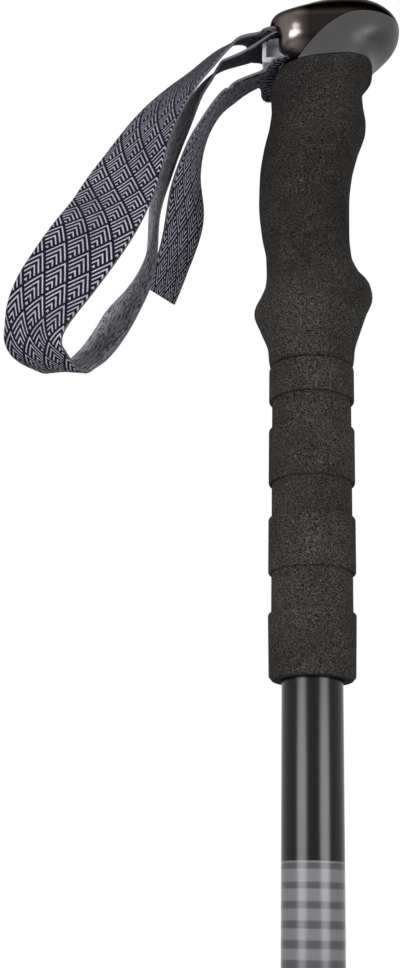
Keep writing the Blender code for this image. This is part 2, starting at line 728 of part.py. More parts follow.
def foam_grip(material):
    """The sculpted main grip, with its bore stepped round the head's sleeve."""
    low = UPPER_TUBE_TOP + GRIP_STATIONS[0][0] * MM
    heights = [low, low + 0.0007] + steps_between(low + 0.0034, GRIP_TOP - 0.0012, 0.0036) + [GRIP_TOP]
    lean_from = GRIP_TOP - 0.022

    def tilt_at(height):
        return GRIP_TOP_SLOPE * max(0.0, (height - lean_from) / (GRIP_TOP - lean_from)) ** 2

    def squares(height):
        share = max(0.0, (height - low) / (GRIP_TOP - low))
        return 2.05 + 0.55 * share**3, 2.05 + 0.95 * share**4

    rings = station_rings(GRIP_STATIONS, heights, squares, tilt_at, 32)
    grip = add_part("grip_foam", loft_mesh("grip_foam", rings), material)
    sleeve_low = UPPER_TUBE_TOP + SOCKET_ROOF - SLEEVE_LENGTH
    narrow = UPPER_TUBE_D / 2 + FIT
    wide = SLEEVE_D / 2 + FIT
    top = GRIP_TOP + CUT_PAST
    profile = [(0.0, top), (wide, top), (wide, sleeve_low - FIT), (narrow, sleeve_low - FIT)]
    profile += [(narrow, low - CUT_PAST), (0.0, low - CUT_PAST)]
    boolean(grip, turned("grip_bore", profile, None, ROUND, cutter=True))
    return grip


def head_form_mesh(name, inset):
    """The head's outer form, or the same form drawn in by an inset."""
    low = UPPER_TUBE_TOP + HEAD_STATIONS[0][0] * MM
    high = UPPER_TUBE_TOP + HEAD_STATIONS[-1][0] * MM
    edge = STRAP_WIDTH / 2 / MM
    stations = [(height, back, front, edge + cheek) for height, back, front, cheek in HEAD_STATIONS]
    heights = steps_between(low, high - 0.0030, 0.0021)
    heights += [high - 0.0020, high - 0.0011, high - 0.0004, high]
    lean_to = low + 0.012

    def tilt_at(height):
        return GRIP_TOP_SLOPE * max(0.0, (lean_to - height) / (lean_to - low)) ** 1.5

    def squares(height):
        share = (height - low) / (high - low)
        square_up = min(1.0, max(0.0, (height - low) / 0.004))
        round_off = min(1.0, max(0.0, (height - low - HEAD_ROUND_FROM) / 0.008))
        return 2.6 + 4.0 * square_up * (1 - round_off), 3.0 - 0.7 * min(1.0, share * 2)

    rings = station_rings(stations, heights, squares, tilt_at, 36)
    mesh = loft_mesh(name, rings)
    if inset:
        bm = bmesh.new()
        bm.from_mesh(mesh)
        for vert in bm.verts:
            vert.co -= vert.normal * inset
        bm.to_mesh(mesh)
        bm.free()
    return mesh


def seam_region(name, lift):
    """Everything below the seam between the head's cover and its body, raised by lift."""
    table = from_tube_top(HEAD_SEAM, 1)
    xs = np.linspace(table[0, 0], table[-1, 0], 22)
    outline = [(float(x), float(gentle(table[:, 0], table[:, 1], x)) + lift) for x in xs]
    base = GRIP_TOP - 0.03
    outline += [(float(xs[-1]), base), (float(xs[0]), base)]
    mesh = plate_mesh(name, outline, -0.03, 0.03)
    return add_cutter(name, mesh, turn=(math.pi / 2, 0.0, 0.0))


def mouth_outline(reach):
    """The hollow for the strap in side view: open at the back, round at the inner end."""
    radius = TURN_R + STRAP_THICK / 2 + MOUTH_LIFT
    low = GRIP_TOP - MOUTH_INTO_FOAM
    points = [(-reach, low), (MOUTH_SILL_X, low), (MOUTH_SILL_X, TURN_Z - radius - 0.0006), (-0.0085, TURN_Z - radius)]
    points += arc((TURN_X, TURN_Z), radius, -90.0, 90.0, 12)
    points += [(-0.0085, TURN_Z + radius), (-0.0125, TURN_Z + radius + MOUTH_FLARE * 0.5)]
    points += [(-reach, TURN_Z + radius + MOUTH_FLARE)]
    return points


def head(materials):
    """The plated cover, and the grey body with its sleeve over the upper tube."""
    mouth = add_cutter(
        "mouth", plate_mesh("mouth", mouth_outline(MOUTH_REACH), -MOUTH_HALF, MOUTH_HALF), turn=(math.pi / 2, 0.0, 0.0)
    )
    core = add_cutter("head_core", head_form_mesh("head_core", COVER_WALL))
    below = seam_region("below_seam", 0.0004)

    cover = add_part("grip_head_cover", head_form_mesh("grip_head_cover", 0.0), materials["chrome"])
    boolean(cover, core)
    boolean(cover, below)
    boolean(cover, mouth)
    room = cylinder_mesh("sleeve_room", SLEEVE_D / 2 + FIT, GRIP_TOP - CUT_PAST, GRIP_TOP + 0.001 + FIT)
    boolean(cover, add_cutter("sleeve_room", room))

    shell = add_cutter("head_outer_form", head_form_mesh("head_outer_form", 0.0))
    boolean(shell, seam_region("body_region", 0.0), "INTERSECT")
    body = add_part("grip_head_body", head_form_mesh("grip_head_body", COVER_WALL + FIT), materials["head"])
    boolean(body, shell, "UNION")
    sleeve_low = UPPER_TUBE_TOP + SOCKET_ROOF - SLEEVE_LENGTH
    sleeve = add_cutter("head_sleeve", cylinder_mesh("head_sleeve", SLEEVE_D / 2, sleeve_low, GRIP_TOP + 0.001))
    boolean(body, sleeve, "UNION")
    socket = cylinder_mesh("head_socket", UPPER_TUBE_D / 2 + FIT, sleeve_low - 0.002, UPPER_TUBE_TOP + SOCKET_ROOF)
    boolean(body, add_cutter("head_socket", socket))
    boolean(body, mouth)
    pin_z = TURN_Z - WEDGE_PIN_DROP
    hole = cylinder_mesh("wedge_pin_hole", WEDGE_PIN_D / 2 + FIT, -WEDGE_PIN_REACH - FIT, WEDGE_PIN_REACH + FIT, FINE)
    boolean(body, add_cutter("wedge_pin_hole", hole, (WEDGE_PIN_X, 0.0, pin_z), (math.pi / 2, 0.0, 0.0)))
    add_part(
        "wedge_pin",
        cylinder_mesh("wedge_pin", WEDGE_PIN_D / 2, -WEDGE_PIN_REACH, WEDGE_PIN_REACH, FINE),
        materials["steel"],
        (WEDGE_PIN_X, 0.0, pin_z),
        (math.pi / 2, 0.0, 0.0),
    )


def strap_wedge(material):
    """The wedge that the webbing turns round, with a slot for its pin."""
    nose = TURN_R - STRAP_THICK / 2 - FIT
    low = TURN_Z - nose
    rebate = TURN_Z + nose - STRAP_THICK - FIT
    step = STRAP_END_X + FIT
    rise = math.degrees(math.acos((step - TURN_X) / nose))
    lip = low - WEDGE_LIP
    outline = [(-WEDGE_OUT, lip + 0.0006), (-WEDGE_OUT + 0.0006, lip), (-WEDGE_OUT + 0.0026, lip)]
    outline += [(-WEDGE_OUT + 0.0038, low)]
    outline += arc((TURN_X, TURN_Z), nose, -90.0, rise, 14)
    outline += [(step, rebate), (-WEDGE_OUT + 0.0012, rebate), (-WEDGE_OUT, rebate - 0.0012)]
    half = WEDGE_WIDTH / 2
    wedge = add_part(
        "strap_wedge", plate_mesh("strap_wedge", outline, -half, half), material, turn=(math.pi / 2, 0.0, 0.0)
    )
    radius = WEDGE_PIN_D / 2 + FIT
    pin_z = TURN_Z - WEDGE_PIN_DROP
    slot = arc((WEDGE_PIN_X, pin_z), radius, 90.0, 270.0, 8)
    slot += arc((WEDGE_PIN_X + WEDGE_TRAVEL, pin_z), radius, -90.0, 90.0, 8)
    mesh = plate_mesh("wedge_slot", slot, -half - 0.002, half + 0.002)
    boolean(wedge, add_cutter("wedge_slot", mesh, turn=(math.pi / 2, 0.0, 0.0)))
    pocket_low = low + 0.0018
    pocket_high = rebate - 0.0016
    for side in (-1, 1):
        near = side * (half + 0.001)
        far = side * (half - 0.0035)
        mesh = box_mesh(
            "wedge_pocket",
            (-WEDGE_OUT + 0.0018, min(near, far), pocket_low),
            (WEDGE_PIN_X - radius - 0.0018, max(near, far), pocket_high),
        )
        boolean(wedge, add_cutter("wedge_pocket_" + ("far" if side > 0 else "near"), mesh))
    return wedge


def strap_route():
    """The middle line of the webbing, its twist, and where along it each point lies."""
    under = TURN_Z + TURN_R - STRAP_THICK - FIT
    over = TURN_Z + TURN_R
    bottom = TURN_Z - TURN_R
    rows = [(STRAP_END_X, 0.0, under, 0.0), (-0.0050, 0.0, under, 0.0), (-0.0100, 0.0, under, 0.0)]
    rows += [(x * MM, y * MM, UPPER_TUBE_TOP + z * MM, twist) for x, y, z, twist in LOOP_ROUTE]
    rows += [(-0.0102, 0.0, over, 0.0), (-0.0050, 0.0, over, 0.0), (0.0, 0.0, over, 0.0)]
    for x, z in arc((TURN_X, TURN_Z), TURN_R, 90.0, -90.0, 6):
        rows.append((x, 0.0, z, 0.0))
    rows += [(0.0, 0.0, bottom, 0.0), (-0.0050, 0.0, bottom, 0.0), (-0.0090, 0.0, bottom, 0.0)]
    rows += [(-0.0128, 0.0, bottom - WEDGE_LIP - FIT, 0.0)]
    rows += [(x * MM, y * MM, UPPER_TUBE_TOP + z * MM, twist) for x, y, z, twist in TAIL_ROUTE]
    table = np.array(rows)
    gaps = np.linalg.norm(np.diff(table[:, :3], axis=0), axis=1)
    along = np.concatenate([[0.0], np.cumsum(gaps)])
    count = round(along[-1] / 0.0030)
    read = np.linspace(0.0, along[-1], count + 1)
    middle = natural_spline(along, table[:, :3], read)
    twist = np.radians([float(gentle(along, table[:, 3], s)) for s in read])
    return middle, twist


def wrist_strap(material):
    """The webbing as a ribbon across its route, thickened to both sides."""
    middle, twist = strap_route()
    forward = np.gradient(middle, axis=0)
    forward /= np.linalg.norm(forward, axis=1)[:, None]
    bm = bmesh.new()
    rows = []
    for point, direction, angle in zip(middle, forward, twist):
        direction = Vector(direction)
        across = Vector((0.0, 1.0, 0.0))
        across = (across - direction * across.dot(direction)).normalized()
        across = Matrix.Rotation(angle, 3, direction) @ across
        centre = Vector(point)
        rows.append([bm.verts.new(centre + across * STRAP_WIDTH * share) for share in (-0.5, 0.0, 0.5)])
    for first, second in zip(rows, rows[1:]):
        for i in range(2):
            bm.faces.new((first[i], first[i + 1], second[i + 1], second[i]))
    mesh = finish_mesh(bm, "wrist_strap")
    strap = add_part("wrist_strap", mesh, material)
    solidify = strap.modifiers.new("webbing", "SOLIDIFY")
    solidify.thickness = STRAP_THICK
    solidify.offset = 0.0
    return strap


clear_scene()
PARTS = new_collection("trekking_pole")
CUTTERS = new_collection("cutters")

MATERIALS = {
    "chrome": principled("plated_cover", (0.20, 0.17, 0.16), 0.12, 1.0),
    "head": principled("head_plastic", (0.075, 0.073, 0.075), 0.38),
    "foam": principled("eva_foam", (0.033, 0.031, 0.028), 0.92),
    "tube": principled("anodised_black", (0.012, 0.012, 0.013), 0.30, 0.6),
    "plastic": principled("lock_plastic", (0.020, 0.020, 0.021), 0.45),
    "lever": principled("lever_plastic", (0.040, 0.040, 0.043), 0.35),
    "steel": principled("bright_steel", (0.55, 0.55, 0.56), 0.28, 1.0),
    "wedge": principled("wedge_plastic", (0.42, 0.40, 0.44), 0.45),
    "strap": principled("webbing", (0.050, 0.045, 0.065), 0.85),
    "rubber": principled("rubber", (0.018, 0.018, 0.018), 0.80),
    "carbide": principled("carbide", (0.32, 0.32, 0.33), 0.35, 1.0),
}

rubber_foot(MATERIALS["rubber"])
carbide_tip(MATERIALS["carbide"])
tip_ferrule(MATERIALS["plastic"])
basket(MATERIALS["plastic"])
tube("lower_tube", LOWER_TUBE_D, LOWER_TUBE_BOTTOM, LOWER_TUBE_TOP, MATERIALS["tube"])
guide_plug("lower_guide", LOWER_TUBE_D, LOWER_TUBE_TOP, MATERIALS["plastic"])
lever_lock("lower", LOWER_LOCK_BOTTOM, MIDDLE_TUBE_D, LOWER_TUBE_D, MATERIALS)
tube("middle_tube", MIDDLE_TUBE_D, MIDDLE_TUBE_BOTTOM, MIDDLE_TUBE_TOP, MATERIALS["tube"])
guide_plug("middle_guide", MIDDLE_TUBE_D, MIDDLE_TUBE_TOP, MATERIALS["plastic"])
lever_lock("upper", UPPER_LOCK_BOTTOM, UPPER_TUBE_D, MIDDLE_TUBE_D, MATERIALS)
tube("upper_tube", UPPER_TUBE_D, UPPER_TUBE_BOTTOM, UPPER_TUBE_TOP, MATERIALS["tube"])
foam_extension(MATERIALS["foam"])
foam_grip(MATERIALS["foam"])
head(MATERIALS)
strap_wedge(MATERIALS["wedge"])
wrist_strap(MATERIALS["strap"])
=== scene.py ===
"""The looks of the telescopic trekking pole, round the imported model. Metres, +Z up the pole."""

import math

import bmesh
import bpy
import numpy as np
from mathutils import Matrix, Vector


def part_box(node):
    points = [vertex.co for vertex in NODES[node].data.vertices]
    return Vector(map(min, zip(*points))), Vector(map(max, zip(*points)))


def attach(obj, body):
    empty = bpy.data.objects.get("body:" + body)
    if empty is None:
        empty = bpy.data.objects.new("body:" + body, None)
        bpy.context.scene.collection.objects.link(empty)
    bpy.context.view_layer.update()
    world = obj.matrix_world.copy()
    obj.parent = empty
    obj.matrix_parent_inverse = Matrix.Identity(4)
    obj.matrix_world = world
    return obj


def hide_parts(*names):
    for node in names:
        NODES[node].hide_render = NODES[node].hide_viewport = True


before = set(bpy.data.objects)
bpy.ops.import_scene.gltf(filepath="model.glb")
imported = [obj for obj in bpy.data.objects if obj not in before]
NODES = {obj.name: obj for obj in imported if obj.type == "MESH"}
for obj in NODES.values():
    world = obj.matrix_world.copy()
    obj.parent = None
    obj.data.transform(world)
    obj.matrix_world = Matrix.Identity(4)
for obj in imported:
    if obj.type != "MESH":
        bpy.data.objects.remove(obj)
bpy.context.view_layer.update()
MM = 0.001

# Sizes that the fine pieces share with the model
FIT = 0.0003
UPPER_TUBE_D = 0.018
MIDDLE_TUBE_D = 0.016
LOWER_TUBE_D = 0.014
TUBE_WALL = 0.0007
SLEEVE_D = 0.0206
SLEEVE_LOW = 0.5601
SLEEVE_RISE = 0.001
SOCKET_LOW = 0.558
SOCKET_TOP = 0.6021
GRIP_TOP = 0.6057
GRIP_TOP_SLOPE = 0.08
GRIP_BORE_TOP = 0.56
COVER_WALL = 0.0010
STRAP_WIDTH = 0.025
STRAP_THICK = 0.0010
STRAP_END_X = 0.0020
TURN_X = 0.0050
TURN_Z = 0.61245
TURN_R = 0.00545
MOUTH_SIDE = 0.0003
MOUTH_LIFT = 0.0004
MOUTH_FLARE = 0.0022
MOUTH_OUT_X = -0.030
MOUTH_FLARE_X = -0.0125
MOUTH_SILL_X = -0.0104
MOUTH_THROAT_X = -0.0085
MOUTH_SILL_DROP = 0.0006
MOUTH_INTO_FOAM = 0.0012
WEDGE_WIDTH = 0.0190
WEDGE_OUT = 0.0157
WEDGE_LIP = 0.0010
WEDGE_TRAVEL = 0.0040
WEDGE_PIN_D = 0.0025
WEDGE_PIN_X = -0.0010
WEDGE_PIN_DROP = 0.0009
PIN_HOLE_HALF = 0.0137
RING_BOTTOM = 0.406
WIDE_D = 0.0262
NARROW_D = 0.0243
WIDE_RINGS = ((0.0, 0.0197), (0.0318, 0.0489), (0.0596, 0.0770), (0.0860, 0.0969))

# Sections of the grip and the head in millimetres: height, then how far back, front and aside
GRIP_STATIONS = (
    (503.3, 11.9, 11.9, 11.9),
    (504.0, 12.8, 12.8, 12.7),
    (510.0, 13.6, 13.6, 13.4),
    (516.7, 16.1, 15.6, 14.6),
    (521.8, 17.9, 17.3, 15.6),
    (527.0, 15.8, 19.2, 15.4),
    (530.6, 14.5, 18.5, 14.9),
    (534.5, 14.1, 15.4, 14.2),
    (541.0, 14.3, 12.8, 13.7),
    (549.0, 15.7, 12.2, 13.9),
    (560.0, 16.7, 12.3, 14.3),
    (569.2, 16.5, 13.2, 14.3),
    (578.0, 15.4, 15.2, 14.1),
    (587.5, 13.4, 17.9, 13.9),
    (593.5, 12.8, 17.1, 13.9),
    (598.6, 13.0, 16.8, 14.1),
    (602.0, 12.9, 17.6, 14.3),
    (605.7, 11.3, 20.3, 14.5),
)
HEAD_STATIONS = (
    (606.0, 11.2, 20.2, 14.5),
    (609.0, 11.2, 20.6, 15.0),
    (612.0, 11.2, 22.2, 15.3),
    (615.0, 11.4, 25.2, 15.5),
    (618.0, 12.4, 27.9, 15.6),
    (620.4, 13.3, 29.1, 15.6),
    (622.6, 12.9, 29.4, 15.3),
    (625.0, 10.6, 28.7, 14.6),
    (627.4, 6.4, 26.9, 13.0),
    (629.6, 1.0, 24.2, 10.4),
    (631.2, -4.8, 20.8, 7.2),
    (632.0, -9.5, 17.4, 3.6),
)
# The seam between the cover and the body, as x and height in millimetres
HEAD_SEAM = (
    (-16.0, 594.0),
    (-6.6, 603.4),
    (-3.4, 606.4),
    (0.2, 610.8),
    (4.1, 615.2),
    (8.4, 618.6),
    (13.0, 621.2),
    (18.0, 622.3),
    (23.0, 622.7),
    (34.0, 622.9),
)
# The webbing's middle line outside the head: x, y and z in millimetres, then its roll in degrees
LOOP_ROUTE = (
    (-16.7, -0.5, 617.0, -17.0),
    (-20.5, -0.3, 615.4, -23.0),
    (-25.0, 2.0, 614.5, -27.0),
    (-30.0, 4.0, 613.2, -28.0),
    (-35.0, 6.1, 609.4, -28.0),
    (-39.5, 8.3, 603.7, -26.7),
    (-44.5, 11.2, 591.6, -24.6),
    (-49.5, 12.7, 576.1, -22.8),
    (-52.1, 10.8, 555.1, -13.7),
    (-59.8, 2.0, 525.4, -38.7),
    (-70.5, -3.8, 505.1, -40.1),
    (-75.7, -8.1, 500.5, -32.8),
    (-83.3, -22.9, 504.4, 51.6),
    (-75.1, -27.4, 523.5, 81.9),
    (-66.4, -23.0, 540.8, 86.2),
    (-61.6, -13.7, 557.4, 81.5),
    (-55.0, -5.0, 581.5, 57.5),
    (-48.5, -0.8, 596.3, 46.6),
    (-41.5, 0.6, 606.0, 38.3),
    (-35.5, 0.8, 612.2, 33.9),
    (-30.2, 0.1, 617.3, 31.6),
    (-25.5, -0.5, 620.2, 31.0),
    (-21.0, -0.8, 620.8, 25.0),
    (-16.9, -0.1, 620.3, 15.0),
)
TAIL_ROUTE = (
    (-16.6, -0.3, 604.8, -16.0),
    (-19.6, 0.2, 604.8, -24.0),
    (-23.5, 2.4, 604.0, -23.0),
    (-27.5, 3.7, 602.2, -16.0),
    (-31.5, 4.9, 598.4, -12.4),
    (-35.4, 6.4, 591.8, -7.1),
    (-39.0, 8.2, 581.6, 3.7),
    (-41.2, 10.9, 564.6, 20.9),
    (-45.6, 14.3, 546.6, 12.5),
    (-49.6, 17.2, 536.4, 10.3),
)

# Colours
BLACK = (0.0, 0.0, 0.0)
FOAM_PORE = (0.003, 0.0028, 0.0027)
FOAM_MIDDLE = (0.018, 0.0172, 0.0165)
FOAM_LIGHT = (0.050, 0.0465, 0.044)
FOAM_WORN = (0.076, 0.071, 0.065)
FOAM_FLECK = (0.16, 0.15, 0.135)
# Painted reflection: the plating's dark tone over the shoulder, and its lighter tone at the back
PLATED_PAINTED_DARK_REFLECTION = (0.022, 0.018, 0.016)
PLATED_BACK = (0.135, 0.115, 0.106)
PLATED_TINT = (0.34, 0.335, 0.33)
PRINT_DARK = (0.005, 0.005, 0.011)
PRINT_LIGHT = (0.40, 0.38, 0.455)
HEATHER_DARK = (0.011, 0.010, 0.015)
HEATHER_LIGHT = (0.40, 0.38, 0.43)
HEATHER_EDGE = (0.095, 0.090, 0.104)
SHAFT_BLACK = (0.0012, 0.0012, 0.0014)
BAND_LIGHT = (0.121, 0.118, 0.130)
BAND_DARK = (0.053, 0.052, 0.058)
TICK_GREY = (0.35, 0.35, 0.36)
FLOOR_GREY = (0.80, 0.80, 0.80)

# The foam is darker from here up: painted shade on the upper grip
PAINTED_SHADE_FROM_Z = 0.515
PAINTED_SHADE_TO_Z = 0.545

# The plating is shaded a little rounder than its flat-sided form
PLATED_ROUND_X = 28.0
PLATED_ROUND_Z = 36.0
PLATED_CENTRE_Z = 0.6185
PLATED_RIPPLE = 0.000016

# The webbing's lozenges and threads, and how far along it turns round the wedge
LOZENGE_WIDTH = 0.00833
LOZENGE_LENGTH = 0.0126
LOZENGE_LINES = 5
LOZENGE_BORDER = 0.35
LOZENGE_RIGHT = 0.287
LOZENGE_LEFT = 0.502
RIB_PITCH = 0.00078
PICK_PITCH = 0.00062
TURN_ALONG = 0.360

# The printed rings of the upper tube, and the tick marks of the others
BAND_TOP = 0.3547
BAND_START = 0.0029
BAND_PITCH = 0.0053
BAND_RINGS = 15
TICK_PITCH = 0.010
TICK_FRONT_X = 0.0045
MIDDLE_TICKS = (0.16, 0.40)
LOWER_TICKS = (0.12, 0.38)

# The camera, as fitted to the photograph: place, angles in radians, and lengths in pixels
CAMERA_PLACE = (0.0, -0.43594, 0.332)
CAMERA_YAW = 0.07784
CAMERA_PITCH = 0.29775
CAMERA_ROLL = 0.01976
FOCAL_LENGTH_PX = 1500.0
PHOTO_HEIGHT_PX = 968.0
SENSOR_MM = 36.0

# The studio: each lamp's name, place, target, width and height, and power
WORLD_LIGHT = 0.27
LAMPS = (
    ("lamp_left", (-0.820, -0.970, 0.48), (0.0, 0.0, 0.48), (0.84, 0.40), 12.0),
    ("lamp_right", (0.880, -0.915, 0.48), (0.0, 0.0, 0.48), (0.84, 0.40), 12.0),
    ("lamp_high", (-0.620, -0.920, 0.860), (0.0, 0.0, 0.62), (0.38, 0.38), 2.8),
    ("lamp_top", (0.0, -0.2, 1.5), (0.0, 0.0, 0.50), (0.8, 0.8), 1.5),
)
FLOOR_HALF = 2.0
FLOOR_DROP = 0.0004

# Turned like this, an outline of (x, height) points stands upright
ON_EDGE = (math.pi / 2, 0.0, 0.0)
# How far a cutter reaches past what it cuts
CUT_PAST = 0.01
CUT_HALF = 0.03


# Shader helpers
def new_material(name):
    material = bpy.data.materials.new(name)
    material.use_nodes = True
    return material, material.node_tree, material.node_tree.nodes["Principled BSDF"]


def link(tree, source, target):
    tree.links.new(source, target)


def maths(tree, operation, first, second=None, third=None):
    """A math node. Each input is another socket or a plain number."""
    node = tree.nodes.new("ShaderNodeMath")
    node.operation = operation
    for i, value in enumerate((first, second, third)):
        if value is None:
            continue
        if isinstance(value, (int, float)):
            node.inputs[i].default_value = value
        else:
            link(tree, value, node.inputs[i])
    return node.outputs[0]


def plus(tree, first, second):
    return maths(tree, "ADD", first, second)


def minus(tree, first, second):
    return maths(tree, "SUBTRACT", first, second)


def times(tree, first, second):
    return maths(tree, "MULTIPLY", first, second)


def add_to(tree, value, share, base):
    """value times share, plus base."""
    return maths(tree, "MULTIPLY_ADD", value, share, base)


def ramp(tree, value, low, high):
    """0 below low, 1 above high, smooth between."""
    node = tree.nodes.new("ShaderNodeMapRange")
    node.interpolation_type = "SMOOTHSTEP"
    node.inputs["From Min"].default_value = low
    node.inputs["From Max"].default_value = high
    link(tree, value, node.inputs["Value"])
    return node.outputs["Result"]


def object_place(tree):
    return tree.nodes.new("ShaderNodeTexCoord").outputs["Object"]


def split(tree, vector):
    node = tree.nodes.new("ShaderNodeSeparateXYZ")
    link(tree, vector, node.inputs[0])
    return node.outputs


def noise(tree, scale, detail, roughness=0.6, vector=None):
    node = tree.nodes.new("ShaderNodeTexNoise")
    node.inputs["Scale"].default_value = scale
    node.inputs["Detail"].default_value = detail
    node.inputs["Roughness"].default_value = roughness
    link(tree, vector or object_place(tree), node.inputs["Vector"])
    return node.outputs["Fac"]


def mix(tree, share, first, second):
    """A colour between first and second, each of them a socket or a plain colour."""
    node = tree.nodes.new("ShaderNodeMix")
    node.data_type = "RGBA"
    link(tree, share, node.inputs[0])
    for socket, colour in ((node.inputs[6], first), (node.inputs[7], second)):
        if isinstance(colour, tuple):
            socket.default_value = (*colour, 1.0)
        else:
            link(tree, colour, socket)
    return node.outputs[2]


def bump(tree, shader, height, strength, distance):
    """Bump the shader's surface. The result is the node's own socket for a normal."""
    node = tree.nodes.new("ShaderNodeBump")
    node.inputs["Strength"].default_value = strength
    node.inputs["Distance"].default_value = distance
    link(tree, height, node.inputs["Height"])
    link(tree, node.outputs["Normal"], shader.inputs["Normal"])
    return node.inputs["Normal"]


# Materials
def plain(name, colour, roughness, metallic=0.0, grain=0.0, gloss=0.5, rounded=0.0):
    """A plain finish, with a fine grain where grain isn't nought, and edges that look rounded where rounded
    isn't nought.
    """
    material, tree, shader = new_material(name)
    shader.inputs["Base Color"].default_value = (*colour, 1.0)
    shader.inputs["Roughness"].default_value = roughness
    shader.inputs["Metallic"].default_value = metallic
    shader.inputs["Specular IOR Level"].default_value = gloss
    normal = shader.inputs["Normal"]
    if grain:
        normal = bump(tree, shader, noise(tree, scale=5200.0, detail=2.0), grain, distance=0.0001)
        uneven = ramp(tree, noise(tree, scale=160.0, detail=3.0), 0.3, 0.7)
        spread = 0.06
        link(tree, add_to(tree, uneven, 2 * spread, roughness - spread), shader.inputs["Roughness"])
    if rounded:
        edge = tree.nodes.new("ShaderNodeBevel")
        edge.samples = 8
        edge.inputs["Radius"].default_value = rounded
        link(tree, edge.outputs["Normal"], normal)
    return material


def foam_material(name):
    """Closed-cell foam: charcoal, very matte, with a fine speckle, small pits and painted shade on the upper
    grip.
    """
    material, tree, shader = new_material(name)
    fine = noise(tree, scale=2500.0, detail=4.0, roughness=0.75)
    broad = ramp(tree, noise(tree, scale=190.0, detail=3.0), 0.38, 0.68)
    patch = ramp(tree, noise(tree, scale=42.0, detail=2.0), 0.36, 0.62)
    fleck = ramp(tree, noise(tree, scale=1300.0, detail=1.0), 0.735, 0.775)
    pits = ramp(tree, noise(tree, scale=1050.0, detail=2.0), 0.26, 0.34)
    painted_shade = ramp(tree, split(tree, object_place(tree))[2], PAINTED_SHADE_FROM_Z, PAINTED_SHADE_TO_Z)
    tone = mix(tree, ramp(tree, fine, 0.43, 0.61), FOAM_PORE, mix(tree, patch, FOAM_LIGHT, FOAM_WORN))
    tone = mix(tree, times(tree, broad, 0.30), tone, FOAM_MIDDLE)
    # Painted shade: the upper grip is darkened toward black
    tone = mix(tree, times(tree, painted_shade, 0.36), tone, BLACK)
    tone = mix(tree, times(tree, fleck, 0.55), tone, FOAM_FLECK)
    link(tree, tone, shader.inputs["Base Color"])
    shader.inputs["Roughness"].default_value = 0.95
    shader.inputs["Specular IOR Level"].default_value = 0.06
    bump(tree, shader, add_to(tree, pits, 0.7, fine), strength=0.75, distance=0.00022)
    return material


def plated_material(name):
    """Dark warm plating, nearly a mirror, darker over the shoulder than at the back: a painted dark
    reflection.
    """
    material, tree, shader = new_material(name)
    x, _, z = split(tree, object_place(tree))
    # Painted reflection: the base colour is darker over the shoulder than at the back
    back = ramp(tree, times(tree, x, -1.0), -0.0005, 0.0080)
    link(tree, mix(tree, back, PLATED_PAINTED_DARK_REFLECTION, PLATED_BACK), shader.inputs["Base Color"])
    shader.inputs["Metallic"].default_value = 1.0
    shader.inputs["Specular Tint"].default_value = (*PLATED_TINT, 1.0)
    cloud = ramp(tree, noise(tree, scale=240.0, detail=3.0), 0.3, 0.7)
    link(tree, add_to(tree, cloud, 0.06, 0.19), shader.inputs["Roughness"])
    behind = maths(tree, "MINIMUM", x, 0.0)
    rise = minus(tree, z, PLATED_CENTRE_Z)
    across = times(tree, times(tree, behind, behind), -PLATED_ROUND_X)
    upward = times(tree, times(tree, rise, rise), -PLATED_ROUND_Z)
    ripple = noise(tree, scale=900.0, detail=2.0)
    height = add_to(tree, ripple, PLATED_RIPPLE, plus(tree, across, upward))
    bump(tree, shader, height, strength=1.0, distance=1.0)
    return material


def chevron_lines(tree, along, across):
    """1 on the nested light lines of the lozenges, 0 between them."""
    rows = maths(tree, "DIVIDE", along, LOZENGE_LENGTH)
    columns = maths(tree, "DIVIDE", across, LOZENGE_WIDTH)
    right = maths(tree, "FRACT", plus(tree, plus(tree, rows, columns), LOZENGE_RIGHT))
    left = maths(tree, "FRACT", plus(tree, minus(tree, rows, columns), LOZENGE_LEFT))
    nested = times(tree, maths(tree, "MAXIMUM", right, left), LOZENGE_LINES + LOZENGE_BORDER)
    wave = maths(tree, "ABSOLUTE", minus(tree, maths(tree, "FRACT", nested), 0.5))
    line = minus(tree, 1.0, ramp(tree, wave, 0.11, 0.24))
    return times(tree, line, maths(tree, "LESS_THAN", nested, float(LOZENGE_LINES)))


def thread_weave(tree, along, across):
    """The over and under of the threads, from 0 to 1."""
    ribs = maths(tree, "SINE", times(tree, across, 2 * math.pi / RIB_PITCH))
    picks = maths(tree, "SINE", times(tree, along, 2 * math.pi / PICK_PITCH))
    return add_to(tree, times(tree, ribs, picks), 0.5, 0.5)


